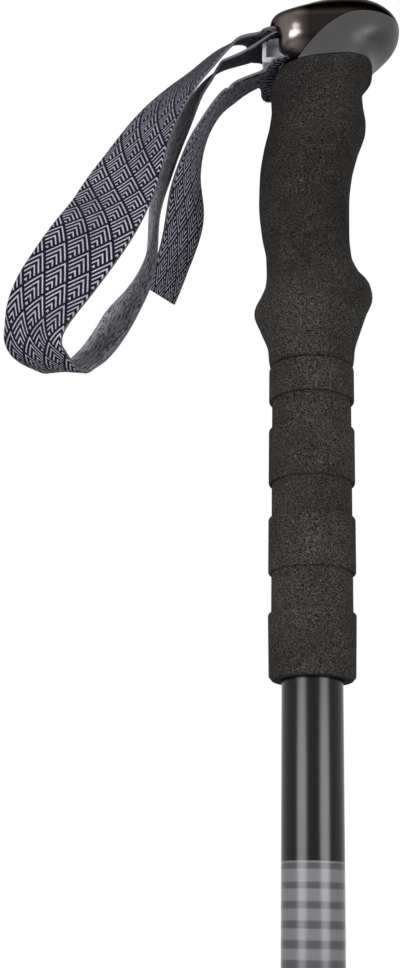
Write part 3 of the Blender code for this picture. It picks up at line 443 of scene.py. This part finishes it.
def webbing_material(name):
    """Woven webbing: nested light chevrons in lozenges outside, a grey heather inside."""
    material, tree, shader = new_material(name)
    attribute = tree.nodes.new("ShaderNodeAttribute")
    attribute.attribute_name = "weave"
    along, across, side = split(tree, attribute.outputs["Vector"])
    weave = thread_weave(tree, along, across)

    # The print and the heather are darker toward the head and the turn in the mouth: painted shade
    past_turn = minus(tree, along, TURN_ALONG)
    to_turn = maths(tree, "MAXIMUM", times(tree, past_turn, -1.0), times(tree, past_turn, 2.5))
    clear_of_painted_shade = ramp(tree, maths(tree, "MINIMUM", along, to_turn), 0.030, 0.115)

    thread = noise(tree, scale=2400.0, detail=3.0, roughness=0.7)
    cloud = noise(tree, scale=95.0, detail=2.0, roughness=0.5)
    worn = ramp(tree, plus(tree, thread, times(tree, cloud, 0.5)), 0.48, 0.95)
    # Painted shade dims the print near the head
    strength = times(tree, add_to(tree, worn, 0.60, 0.40), add_to(tree, clear_of_painted_shade, 0.80, 0.20))
    light = times(tree, chevron_lines(tree, along, across), strength)
    printed = mix(tree, light, PRINT_DARK, PRINT_LIGHT)

    stretched = tree.nodes.new("ShaderNodeMapping")
    stretched.inputs["Scale"].default_value = (520.0, 1500.0, 0.37)
    link(tree, attribute.outputs["Vector"], stretched.inputs["Vector"])
    streak = noise(tree, scale=1.0, detail=3.0, roughness=0.75, vector=stretched.outputs[0])
    speck = ramp(tree, plus(tree, times(tree, weave, 0.10), streak), 0.49, 0.58)
    # Painted shade dims the heather near the head
    speck = times(tree, speck, add_to(tree, clear_of_painted_shade, 0.50, 0.50))
    heather = mix(tree, speck, HEATHER_DARK, HEATHER_LIGHT)
    on_face = ramp(tree, maths(tree, "ABSOLUTE", side), 0.5, 0.95)
    heather = mix(tree, on_face, HEATHER_EDGE, heather)

    link(tree, mix(tree, ramp(tree, side, 0.2, 0.5), heather, printed), shader.inputs["Base Color"])
    shader.inputs["Roughness"].default_value = 0.88
    shader.inputs["Specular IOR Level"].default_value = 0.08
    height = plus(tree, times(tree, light, 0.8), times(tree, weave, 0.7))
    bump(tree, shader, height, strength=0.55, distance=0.00022)
    return material


def ring_print(tree, height):
    """Grey rings with darker ones between them, which grow broader downward."""
    down = minus(tree, BAND_TOP, height)
    count = maths(tree, "DIVIDE", plus(tree, down, BAND_START), BAND_PITCH)
    broader = add_to(tree, maths(tree, "FLOOR", count), 0.028, 0.36)
    share = maths(tree, "FRACT", count)
    dark = ramp(tree, plus(tree, share, broader), 0.95, 1.05)
    dark = times(tree, dark, ramp(tree, minus(tree, 1.0, share), 0.0, 0.09))
    above_end = maths(tree, "LESS_THAN", down, BAND_PITCH * BAND_RINGS)
    within = times(tree, maths(tree, "GREATER_THAN", down, 0.0), above_end)
    return mix(tree, within, SHAFT_BLACK, mix(tree, dark, BAND_LIGHT, BAND_DARK))


def tick_print(tree, x, height, low, high):
    """Fine grey marks across the front, from low to high."""
    step = maths(tree, "FRACT", maths(tree, "DIVIDE", height, TICK_PITCH))
    mark = maths(tree, "LESS_THAN", step, 0.06)
    front = maths(tree, "GREATER_THAN", x, TICK_FRONT_X)
    within = times(tree, maths(tree, "GREATER_THAN", height, low), front)
    within = times(tree, within, maths(tree, "LESS_THAN", height, high))
    return mix(tree, times(tree, mark, within), SHAFT_BLACK, TICK_GREY)


def shaft_material(name, ticks=None):
    """Black satin anodising, with tick marks where ticks gives their reach, or else with rings."""
    material, tree, shader = new_material(name)
    x, _, height = split(tree, object_place(tree))
    tone = tick_print(tree, x, height, *ticks) if ticks else ring_print(tree, height)
    link(tree, tone, shader.inputs["Base Color"])
    uneven = noise(tree, scale=300.0, detail=3.0)
    link(tree, add_to(tree, uneven, 0.05, 0.20), shader.inputs["Roughness"])
    shader.inputs["Specular IOR Level"].default_value = 0.22
    return material


# Shape helpers
def shade(mesh, smooth_angle):
    """Smooth shading, with edges sharper than the angle in degrees left sharp."""
    mesh.shade_smooth()
    mesh.set_sharp_from_angle(angle=math.radians(smooth_angle))
    return mesh


def finish_mesh(bm, name, smooth_angle=40.0):
    bmesh.ops.recalc_face_normals(bm, faces=bm.faces)
    mesh = bpy.data.meshes.new(name)
    bm.to_mesh(mesh)
    bm.free()
    return shade(mesh, smooth_angle)


def add_object(name, mesh, material=None):
    obj = bpy.data.objects.new(name, mesh)
    if material:
        mesh.materials.append(material)
    bpy.context.scene.collection.objects.link(obj)
    return obj


def settle(obj):
    """Apply the modifiers, so that the piece is its final mesh."""
    bpy.context.view_layer.update()
    depsgraph = bpy.context.evaluated_depsgraph_get()
    mesh = bpy.data.meshes.new_from_object(obj.evaluated_get(depsgraph))
    obj.modifiers.clear()
    obj.data = shade(mesh, 35.0)


def cut(obj, mesh, operation="DIFFERENCE", turn=(0.0, 0.0, 0.0), place=(0.0, 0.0, 0.0)):
    """Apply one exact boolean with a throwaway tool."""
    tool = add_object("tool", mesh)
    tool.rotation_euler = turn
    tool.location = place
    modifier = obj.modifiers.new("cut", "BOOLEAN")
    modifier.operation = operation
    modifier.solver = "EXACT"
    modifier.object = tool
    settle(obj)
    bpy.data.objects.remove(tool, do_unlink=True)


def soften(obj, width):
    """Round the edges a little."""
    modifier = obj.modifiers.new("edges", "BEVEL")
    modifier.width = width
    modifier.segments = 2
    modifier.limit_method = "ANGLE"
    modifier.angle_limit = math.radians(30.0)
    settle(obj)


def smooth_share(value):
    """0 below 0, 1 above 1, smooth between."""
    share = min(1.0, max(0.0, value))
    return share * share * (3 - 2 * share)


def gentle(xs, ys, x):
    """A smooth curve through points, with no overshoot between them."""
    xs = np.asarray(xs, float)
    ys = np.asarray(ys, float)
    step = np.diff(xs)
    slope = np.diff(ys) / step
    tangent = np.zeros(len(xs))
    for i in range(1, len(xs) - 1):
        if slope[i - 1] * slope[i] > 0.0:
            before = 2 * step[i] + step[i - 1]
            after = step[i] + 2 * step[i - 1]
            tangent[i] = (before + after) / (before / slope[i - 1] + after / slope[i])
    tangent[0] = slope[0]
    tangent[-1] = slope[-1]
    i = np.clip(np.searchsorted(xs, x) - 1, 0, len(step) - 1)
    t = (x - xs[i]) / step[i]
    return (
        (1 + 2 * t) * (1 - t) ** 2 * ys[i]
        + t * (1 - t) ** 2 * step[i] * tangent[i]
        + t * t * (3 - 2 * t) * ys[i + 1]
        + t * t * (t - 1) * step[i] * tangent[i + 1]
    )


def natural_spline(ts, values, t):
    """The natural cubic spline through values at ts, read at every t."""
    count = len(ts)
    step = np.diff(ts)
    system = np.eye(count)
    right = np.zeros((count, values.shape[1]))
    for i in range(1, count - 1):
        system[i, i - 1] = step[i - 1]
        system[i, i] = 2 * (step[i - 1] + step[i])
        system[i, i + 1] = step[i]
        right[i] = 6 * ((values[i + 1] - values[i]) / step[i] - (values[i] - values[i - 1]) / step[i - 1])
    bend = np.linalg.solve(system, right)
    i = np.clip(np.searchsorted(ts, t) - 1, 0, count - 2)
    h = step[i][:, None]
    a = ((ts[i + 1] - t) / step[i])[:, None]
    b = 1 - a
    return a * values[i] + b * values[i + 1] + ((a**3 - a) * bend[i] + (b**3 - b) * bend[i + 1]) * h * h / 6


def steps_between(low, high, step):
    count = max(1, round((high - low) / step))
    return [low + (high - low) * i / count for i in range(count + 1)]


def arc(centre, radius, start, end, steps):
    """Points on a circle, from one angle to another in degrees."""
    points = []
    for i in range(steps + 1):
        angle = math.radians(start + (end - start) * i / steps)
        points.append((centre[0] + radius * math.cos(angle), centre[1] + radius * math.sin(angle)))
    return points


def oval(height, back, front, half, square_back, square_front, segments):
    """A level section, squarer at the back or front as its power goes up from 2."""
    middle = (front - back) / 2
    length = (front + back) / 2
    points = []
    for i in range(segments):
        angle = 2 * math.pi * i / segments
        c = math.cos(angle)
        s = math.sin(angle)
        power = 2 / (square_front if c > 0 else square_back)
        x = middle + length * math.copysign(abs(c) ** power, c)
        y = half * math.copysign(abs(s) ** power, s)
        points.append(Vector((x, y, height)))
    return points


def station_rings(stations, heights, squares, tilt_at, segments):
    table = np.array(stations) * MM
    rings = []
    for height in heights:
        back, front, half = (float(gentle(table[:, 0], table[:, column], height)) for column in (1, 2, 3))
        square_back, square_front = squares(height)
        ring = oval(height, back, front, half, square_back, square_front, segments)
        for point in ring:
            point.z += tilt_at(height) * point.x
        rings.append(ring)
    return rings


def join_rows(bm, first, second):
    """Faces between two closed rows of vertices."""
    count = len(first)
    for i in range(count):
        j = (i + 1) % count
        bm.faces.new((first[i], first[j], second[j], second[i]))


def loft_mesh(name, rings):
    """A closed skin over rings of points that run the same way round."""
    bm = bmesh.new()
    rows = [[bm.verts.new(point) for point in ring] for ring in rings]
    for lower, upper in zip(rows, rows[1:]):
        join_rows(bm, lower, upper)
    bm.faces.new(list(reversed(rows[0])))
    bm.faces.new(rows[-1])
    return finish_mesh(bm, name, 50.0)


def plate_mesh(name, outline, low, high):
    """A flat outline of (x, y) points made into a plate from low to high."""
    bm = bmesh.new()
    lower = [bm.verts.new((x, y, low)) for x, y in outline]
    upper = [bm.verts.new((x, y, high)) for x, y in outline]
    join_rows(bm, lower, upper)
    bm.faces.new(list(reversed(lower)))
    bm.faces.new(upper)
    return finish_mesh(bm, name)


def round_mesh(name, radius, low, high, segments=96):
    bm = bmesh.new()
    middle = Matrix.Translation((0.0, 0.0, (low + high) / 2))
    bmesh.ops.create_cone(
        bm, cap_ends=True, segments=segments, radius1=radius, radius2=radius, depth=high - low, matrix=middle
    )
    return finish_mesh(bm, name)


def box_mesh(name, low, high):
    bm = bmesh.new()
    bmesh.ops.create_cube(bm, size=1.0)
    low = Vector(low)
    high = Vector(high)
    bmesh.ops.scale(bm, vec=high - low, verts=bm.verts)
    bmesh.ops.translate(bm, vec=(low + high) / 2, verts=bm.verts)
    return finish_mesh(bm, name)


def turned_mesh(name, profile, segments=96, smooth_angle=40.0):
    """A closed profile of (radius, height) points turned about Z."""
    bm = bmesh.new()
    rows = []
    for i in range(segments):
        angle = 2 * math.pi * i / segments
        rows.append([bm.verts.new((r * math.cos(angle), r * math.sin(angle), z)) for r, z in profile])
    for i in range(segments):
        here = rows[i]
        there = rows[(i + 1) % segments]
        for k in range(len(profile)):
            n = (k + 1) % len(profile)
            bm.faces.new((here[k], there[k], there[n], here[n]))
    return finish_mesh(bm, name, smooth_angle)


# The webbing
def strap_route(step):
    """The middle line of the webbing, its roll, and the distance along it."""
    under = TURN_Z + TURN_R - STRAP_THICK - FIT
    over = TURN_Z + TURN_R
    bottom = TURN_Z - TURN_R
    rows = [(x, 0.0, under, 0.0) for x in (STRAP_END_X, -0.0050, -0.0100)]
    rows += [(x * MM, y * MM, z * MM, roll) for x, y, z, roll in LOOP_ROUTE]
    rows += [(x, 0.0, over, 0.0) for x in (-0.0102, -0.0050, 0.0)]
    rows += [(x, 0.0, z, 0.0) for x, z in arc((TURN_X, TURN_Z), TURN_R, 90.0, -90.0, 6)]
    rows += [(x, 0.0, bottom, 0.0) for x in (0.0, -0.0050, -0.0090)]
    rows += [(-0.0128, 0.0, bottom - WEDGE_LIP - FIT, 0.0)]
    rows += [(x * MM, y * MM, z * MM, roll) for x, y, z, roll in TAIL_ROUTE]
    table = np.array(rows)
    gaps = np.linalg.norm(np.diff(table[:, :3], axis=0), axis=1)
    along = np.concatenate([[0.0], np.cumsum(gaps)])
    places = np.linspace(0.0, along[-1], round(along[-1] / step) + 1)
    middle = natural_spline(along, table[:, :3], places)
    rolls = np.radians([float(gentle(along, table[:, 3], place)) for place in places])
    walked = np.concatenate([[0.0], np.cumsum(np.linalg.norm(np.diff(middle, axis=0), axis=1))])
    return middle, rolls, walked


def strap_section():
    """The webbing's section: across, up, and the side of the weave that a point is on."""
    half = STRAP_WIDTH / 2
    thin = STRAP_THICK / 2
    rounding = 0.00045
    rim = half - 0.0001
    columns = np.linspace(-half + rounding, half - rounding, 15)
    section = [(u, thin, 1.0) for u in columns]
    section += [(rim, thin * 0.5, 0.0), (rim, -thin * 0.5, 0.0)]
    section += [(u, -thin, -1.0) for u in columns[::-1]]
    section += [(-rim, -thin * 0.5, 0.0), (-rim, thin * 0.5, 0.0)]
    return section


def webbing(material):
    """The webbing as a thin closed ribbon. Each corner knows its place in the weave."""
    middle, rolls, walked = strap_route(step=0.0010)
    forward = np.gradient(middle, axis=0)
    forward /= np.linalg.norm(forward, axis=1)[:, None]
    section = strap_section()
    bm = bmesh.new()
    layer = bm.verts.layers.float_vector.new("weave")
    rows = []
    for point, direction, roll, along in zip(middle, forward, rolls, walked):
        direction = Vector(direction)
        across = Vector((0.0, 1.0, 0.0))
        across = (across - direction * across.dot(direction)).normalized()
        across = Matrix.Rotation(roll, 3, direction) @ across
        normal = direction.cross(across)
        centre = Vector(point)
        row = []
        for u, v, side in section:
            vert = bm.verts.new(centre + across * u + normal * v)
            vert[layer] = (along, u, side)
            row.append(vert)
        rows.append(row)
    for first, second in zip(rows, rows[1:]):
        join_rows(bm, first, second)
    bm.faces.new(rows[0])
    bm.faces.new(list(reversed(rows[-1])))
    strap = add_object("webbing_strap", finish_mesh(bm, "webbing_strap", 60.0), material)
    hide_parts("wrist_strap")
    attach(strap, "wedge")


# The head, in its two pieces
def head_form_mesh(name, inset=0.0):
    """The whole head's outer form, or the same form drawn in by the inset."""
    low = HEAD_STATIONS[0][0] * MM
    high = HEAD_STATIONS[-1][0] * MM
    heights = steps_between(low, high - 0.0030, 0.0007)
    heights += [high - drop for drop in (0.0022, 0.0015, 0.0010, 0.0006, 0.0003, 0.0001, 0.0)]
    lean_to = low + 0.012

    def tilt_at(height):
        return GRIP_TOP_SLOPE * max(0.0, (lean_to - height) / (lean_to - low)) ** 1.5

    def squares(height):
        """The powers of a section's back and front half."""
        share = (height - low) / (high - low)
        square_up = smooth_share((height - low) / 0.004)
        round_off = smooth_share((height - 0.619) / 0.008)
        return 2.6 + 4.0 * square_up * (1 - round_off), 3.0 - 0.7 * min(1.0, share * 2)

    mesh = loft_mesh(name, station_rings(HEAD_STATIONS, heights, squares, tilt_at, 144))
    if inset:
        bm = bmesh.new()
        bm.from_mesh(mesh)
        for vert in bm.verts:
            vert.co -= vert.normal * inset
        bm.to_mesh(mesh)
        bm.free()
    return mesh


def below_seam(lift):
    """A thick plate that fills the space below the seam, which is raised by the lift."""
    table = np.array(HEAD_SEAM) * MM
    xs = np.linspace(table[0, 0], table[-1, 0], 60)
    outline = [(float(x), float(gentle(table[:, 0], table[:, 1], x)) + lift) for x in xs]
    base = GRIP_TOP - CUT_HALF
    outline += [(float(xs[-1]), base), (float(xs[0]), base)]
    return plate_mesh("below_seam", outline, -CUT_HALF, CUT_HALF)


def mouth_mesh():
    """The mouth that the strap and the wedge go through, with a flare at its top."""
    radius = TURN_R + STRAP_THICK / 2 + MOUTH_LIFT
    half = STRAP_WIDTH / 2 + MOUTH_SIDE
    low = GRIP_TOP - MOUTH_INTO_FOAM
    floor = TURN_Z - radius
    roof = TURN_Z + radius
    points = [(MOUTH_OUT_X, low), (MOUTH_SILL_X, low)]
    points += [(MOUTH_SILL_X, floor - MOUTH_SILL_DROP), (MOUTH_THROAT_X, floor)]
    points += arc((TURN_X, TURN_Z), radius, -90.0, 90.0, 20)
    points += [(MOUTH_THROAT_X, roof), (MOUTH_FLARE_X, roof + MOUTH_FLARE * 0.5)]
    points += [(MOUTH_OUT_X, roof + MOUTH_FLARE)]
    return plate_mesh("mouth", points, -half, half)


def head_cover(plated):
    """The plated shell over the top and the back."""
    room_top = GRIP_TOP + SLEEVE_RISE + FIT
    cover = add_object("plated_head_cover", head_form_mesh("plated_head_cover"), plated)
    cut(cover, head_form_mesh("core", COVER_WALL))
    cut(cover, below_seam(FIT), turn=ON_EDGE)
    cut(cover, mouth_mesh(), turn=ON_EDGE)
    cut(cover, round_mesh("room", SLEEVE_D / 2 + FIT, GRIP_TOP - CUT_PAST, room_top))
    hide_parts("grip_head_cover")
    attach(cover, "grip_section")


def head_body(plastic):
    """The plastic core and beak, with the sleeve, the socket, the mouth and the pin's hole."""
    body = add_object("satin_head_body", head_form_mesh("satin_head_body"), plastic)
    pin_place = (WEDGE_PIN_X, 0.0, TURN_Z - WEDGE_PIN_DROP)
    pin_hole = round_mesh("pin_hole", WEDGE_PIN_D / 2 + FIT, -PIN_HOLE_HALF, PIN_HOLE_HALF, 32)
    cut(body, below_seam(0.0), "INTERSECT", turn=ON_EDGE)
    cut(body, head_form_mesh("inner", COVER_WALL + FIT), "UNION")
    cut(body, round_mesh("sleeve", SLEEVE_D / 2, SLEEVE_LOW, GRIP_TOP + SLEEVE_RISE), "UNION")
    cut(body, round_mesh("socket", UPPER_TUBE_D / 2 + FIT, SOCKET_LOW, SOCKET_TOP))
    cut(body, mouth_mesh(), turn=ON_EDGE)
    cut(body, pin_hole, turn=ON_EDGE, place=pin_place)
    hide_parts("grip_head_body")
    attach(body, "grip_section")


def wedge_outline(nose, low, rebate):
    """The wedge from the side: a lip below, a round nose, and a rebate for the strap's end."""
    corner = 0.0006
    chamfer = 0.0012
    lip_end = 0.0026
    lip_root = 0.0038
    back = -WEDGE_OUT
    lip = low - WEDGE_LIP
    step = STRAP_END_X + FIT
    rise = math.degrees(math.acos((step - TURN_X) / nose))
    outline = [(back, lip + corner), (back + corner, lip), (back + lip_end, lip), (back + lip_root, low)]
    outline += arc((TURN_X, TURN_Z), nose, -90.0, rise, 24)
    outline += [(step, rebate), (back + chamfer, rebate), (back, rebate - chamfer)]
    return outline


def wedge(material):
    nose = TURN_R - STRAP_THICK / 2 - FIT
    low = TURN_Z - nose
    rebate = TURN_Z + nose - STRAP_THICK - FIT
    half = WEDGE_WIDTH / 2
    outline = wedge_outline(nose, low, rebate)
    obj = add_object("moulded_wedge", plate_mesh("moulded_wedge", outline, -half, half), material)
    obj.rotation_euler = ON_EDGE

    radius = WEDGE_PIN_D / 2 + FIT
    pin_z = TURN_Z - WEDGE_PIN_DROP
    past = 0.001
    slot = arc((WEDGE_PIN_X, pin_z), radius, 90.0, 270.0, 12)
    slot += arc((WEDGE_PIN_X + WEDGE_TRAVEL, pin_z), radius, -90.0, 90.0, 12)
    cut(obj, plate_mesh("slot", slot, -half - 2 * past, half + 2 * past), turn=ON_EDGE)

    # A pocket in each side, behind the slot, with the walls that are left round it
    depth = 0.0035
    back_wall = 0.0013
    front_wall = 0.0018
    lower_wall = 0.0009
    upper_wall = 0.0008
    for side in (-1, 1):
        outer = side * (half + past)
        inner = side * (half - depth)
        corner = (-WEDGE_OUT + back_wall, min(outer, inner), low + lower_wall)
        other = (WEDGE_PIN_X - radius - front_wall, max(outer, inner), rebate - upper_wall)
        cut(obj, box_mesh("pocket", corner, other))
    soften(obj, 0.00018)
    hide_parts("strap_wedge")
    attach(obj, "wedge")


# The foam
def foam_grip(material):
    """The sculpted grip, with a palm swell and two finger stops."""
    low = GRIP_STATIONS[0][0] * MM
    heights = [low, low + 0.0003, low + 0.0007] + steps_between(low + 0.0014, GRIP_TOP - 0.0006, 0.0009)
    heights += [GRIP_TOP - 0.0003, GRIP_TOP]
    lean_from = GRIP_TOP - 0.022

    def tilt_at(height):
        return GRIP_TOP_SLOPE * max(0.0, (height - lean_from) / (GRIP_TOP - lean_from)) ** 2

    def squares(height):
        """The powers of a section's back and front half."""
        share = max(0.0, (height - low) / (GRIP_TOP - low))
        return 2.05 + 0.55 * share**3, 2.05 + 0.95 * share**4

    rings = station_rings(GRIP_STATIONS, heights, squares, tilt_at, 128)
    grip = add_object("foam_main_grip", loft_mesh("foam_main_grip", rings), material)
    cut(grip, round_mesh("bore", UPPER_TUBE_D / 2 + FIT, low - CUT_PAST, GRIP_BORE_TOP))
    cut(grip, round_mesh("bore", SLEEVE_D / 2 + FIT, SLEEVE_LOW - FIT, GRIP_TOP + 2 * CUT_PAST))
    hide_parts("grip_foam")
    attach(grip, "grip_section")


def foam_extension(material):
    """The ringed sleeve: wide bands with soft edges and narrow ones between them."""
    wide = WIDE_D / 2
    narrow = NARROW_D / 2
    bore = UPPER_TUBE_D / 2 + FIT
    top = RING_BOTTOM + WIDE_RINGS[-1][1]
    soft = 0.0007
    # A narrow band draws in toward a wide one: how deep, and how far from it
    draw_in = ((0.0, 0.0010), (0.0001, 0.0004), (0.0002, 0.0))
    profile = []
    for ring_low, ring_high in reversed(WIDE_RINGS):
        low = RING_BOTTOM + ring_low
        high = RING_BOTTOM + ring_high
        if high < top:
            profile += [(narrow - deep, high + away) for deep, away in draw_in]
        profile += arc((wide - soft, high - soft), soft, 90.0, 0.0, 4)
        if low > RING_BOTTOM:
            profile += arc((wide - soft, low + soft), soft, 0.0, -90.0, 4)
            profile += [(narrow - deep, low - away) for deep, away in reversed(draw_in)]
    # The lower end is bevelled
    profile += [(wide - 0.0003, RING_BOTTOM + 0.0011), (wide - 0.0012, RING_BOTTOM)]
    profile += [(bore, RING_BOTTOM), (bore, top)]
    sleeve = add_object("foam_ring_sleeve", turned_mesh("foam_ring_sleeve", profile, 112, 50.0), material)
    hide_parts("grip_extension")
    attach(sleeve, "grip_section")


def shaft(name, node, body, diameter, material):
    """A round-sided tube in place of the model's many-sided one."""
    low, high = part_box(node)
    outer = diameter / 2
    inner = outer - TUBE_WALL
    profile = [(outer, high.z), (outer, low.z), (inner, low.z), (inner, high.z)]
    tube = add_object(name, turned_mesh(name, profile), material)
    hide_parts(node)
    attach(tube, body)


# The studio
def build_floor():
    bm = bmesh.new()
    bmesh.ops.create_grid(bm, x_segments=1, y_segments=1, size=FLOOR_HALF)
    floor = add_object("floor", finish_mesh(bm, "floor"), plain("floor_look", FLOOR_GREY, 0.9))
    floor.location = (0.0, 0.0, -FLOOR_DROP)


def build_surround():
    """White where it is seen or mirrored, and dimmer as a light."""
    world = bpy.data.worlds.new("surround")
    bpy.context.scene.world = world
    world.use_nodes = True
    tree = world.node_tree
    background = tree.nodes["Background"]
    path = tree.nodes.new("ShaderNodeLightPath")
    seen = maths(tree, "MAXIMUM", path.outputs["Is Camera Ray"], path.outputs["Is Glossy Ray"])
    seen = maths(tree, "MAXIMUM", seen, path.outputs["Is Transmission Ray"])
    background.inputs[0].default_value = (1.0, 1.0, 1.0, 1.0)
    link(tree, add_to(tree, seen, 1.0 - WORLD_LIGHT, WORLD_LIGHT), background.inputs[1])


def build_lamps():
    for name, place, target, size, power in LAMPS:
        lamp = bpy.data.lights.new(name, "AREA")
        lamp.shape = "ELLIPSE"
        lamp.size = size[0]
        lamp.size_y = size[1]
        lamp.energy = power
        obj = bpy.data.objects.new(name, lamp)
        obj.location = place
        obj.rotation_euler = (Vector(target) - Vector(place)).to_track_quat("-Z", "Y").to_euler()
        bpy.context.scene.collection.objects.link(obj)


def build_camera():
    """The camera stands low and looks up at the head, as in the photograph."""
    level = math.cos(CAMERA_PITCH)
    forward = Vector((-math.sin(CAMERA_YAW) * level, math.cos(CAMERA_YAW) * level, math.sin(CAMERA_PITCH)))
    right = Vector((math.cos(CAMERA_YAW), math.sin(CAMERA_YAW), 0.0))
    up = right.cross(forward)
    right, up = (
        math.cos(CAMERA_ROLL) * right + math.sin(CAMERA_ROLL) * up,
        math.cos(CAMERA_ROLL) * up - math.sin(CAMERA_ROLL) * right,
    )
    data = bpy.data.cameras.new("camera")
    data.sensor_width = SENSOR_MM
    data.lens = FOCAL_LENGTH_PX * SENSOR_MM / PHOTO_HEIGHT_PX
    data.clip_start = 0.01
    obj = bpy.data.objects.new("camera", data)
    turn = Matrix((right, up, -forward)).transposed().to_4x4()
    obj.matrix_world = Matrix.Translation(CAMERA_PLACE) @ turn
    bpy.context.scene.collection.objects.link(obj)
    bpy.context.scene.camera = obj


FOAM = foam_material("foam_look")
PLATED = plated_material("plated_look")
HEAD_PLASTIC = plain("head_plastic_look", (0.031, 0.030, 0.031), 0.42, grain=0.10, gloss=0.30)
LOCK_PLASTIC = plain("lock_plastic_look", (0.016, 0.016, 0.017), 0.46, grain=0.25, rounded=0.0012)
LEVER_PLASTIC = plain("lever_plastic_look", (0.036, 0.036, 0.039), 0.36, grain=0.12, rounded=0.0005)
STEEL = plain("steel_look", (0.56, 0.56, 0.57), 0.25, metallic=1.0)
CARBIDE = plain("carbide_look", (0.33, 0.33, 0.34), 0.34, metallic=1.0)
WEDGE = plain("wedge_look", (0.33, 0.32, 0.345), 0.45, grain=0.15)
RUBBER = plain("rubber_look", (0.016, 0.016, 0.016), 0.78, grain=0.35, rounded=0.0007)
WEBBING = webbing_material("webbing_look")
RINGED = shaft_material("shaft_upper_look")
MIDDLE_TICKED = shaft_material("shaft_middle_look", ticks=MIDDLE_TICKS)
LOWER_TICKED = shaft_material("shaft_lower_look", ticks=LOWER_TICKS)

webbing(WEBBING)
head_cover(PLATED)
head_body(HEAD_PLASTIC)
wedge(WEDGE)
foam_grip(FOAM)
foam_extension(FOAM)
shaft("shaft_upper", "upper_tube", "grip_section", UPPER_TUBE_D, RINGED)
shaft("shaft_middle", "middle_tube", "middle_section", MIDDLE_TUBE_D, MIDDLE_TICKED)
shaft("shaft_lower", "lower_tube", "lower_section", LOWER_TUBE_D, LOWER_TICKED)

# The pieces that keep the model's own mesh
FINISHES = {
    "middle_guide": LOCK_PLASTIC,
    "lower_guide": LOCK_PLASTIC,
    "tip_ferrule": LOCK_PLASTIC,
    "basket": LOCK_PLASTIC,
    "carbide_tip": CARBIDE,
    "rubber_foot": RUBBER,
    "wedge_pin": STEEL,
}
for side in ("upper", "lower"):
    FINISHES[side + "_lock_collar"] = LOCK_PLASTIC
    FINISHES[side + "_thumb_wheel"] = LOCK_PLASTIC
    FINISHES[side + "_lock_lever"] = LEVER_PLASTIC
    for piece in ("_lock_bolt", "_lever_pin", "_cam_plate"):
        FINISHES[side + piece] = STEEL
for node, material in FINISHES.items():
    NODES[node].data.materials.clear()
    NODES[node].data.materials.append(material)

build_floor()
build_surround()
build_lamps()
build_camera()
bpy.context.scene.view_settings.view_transform = "Standard"
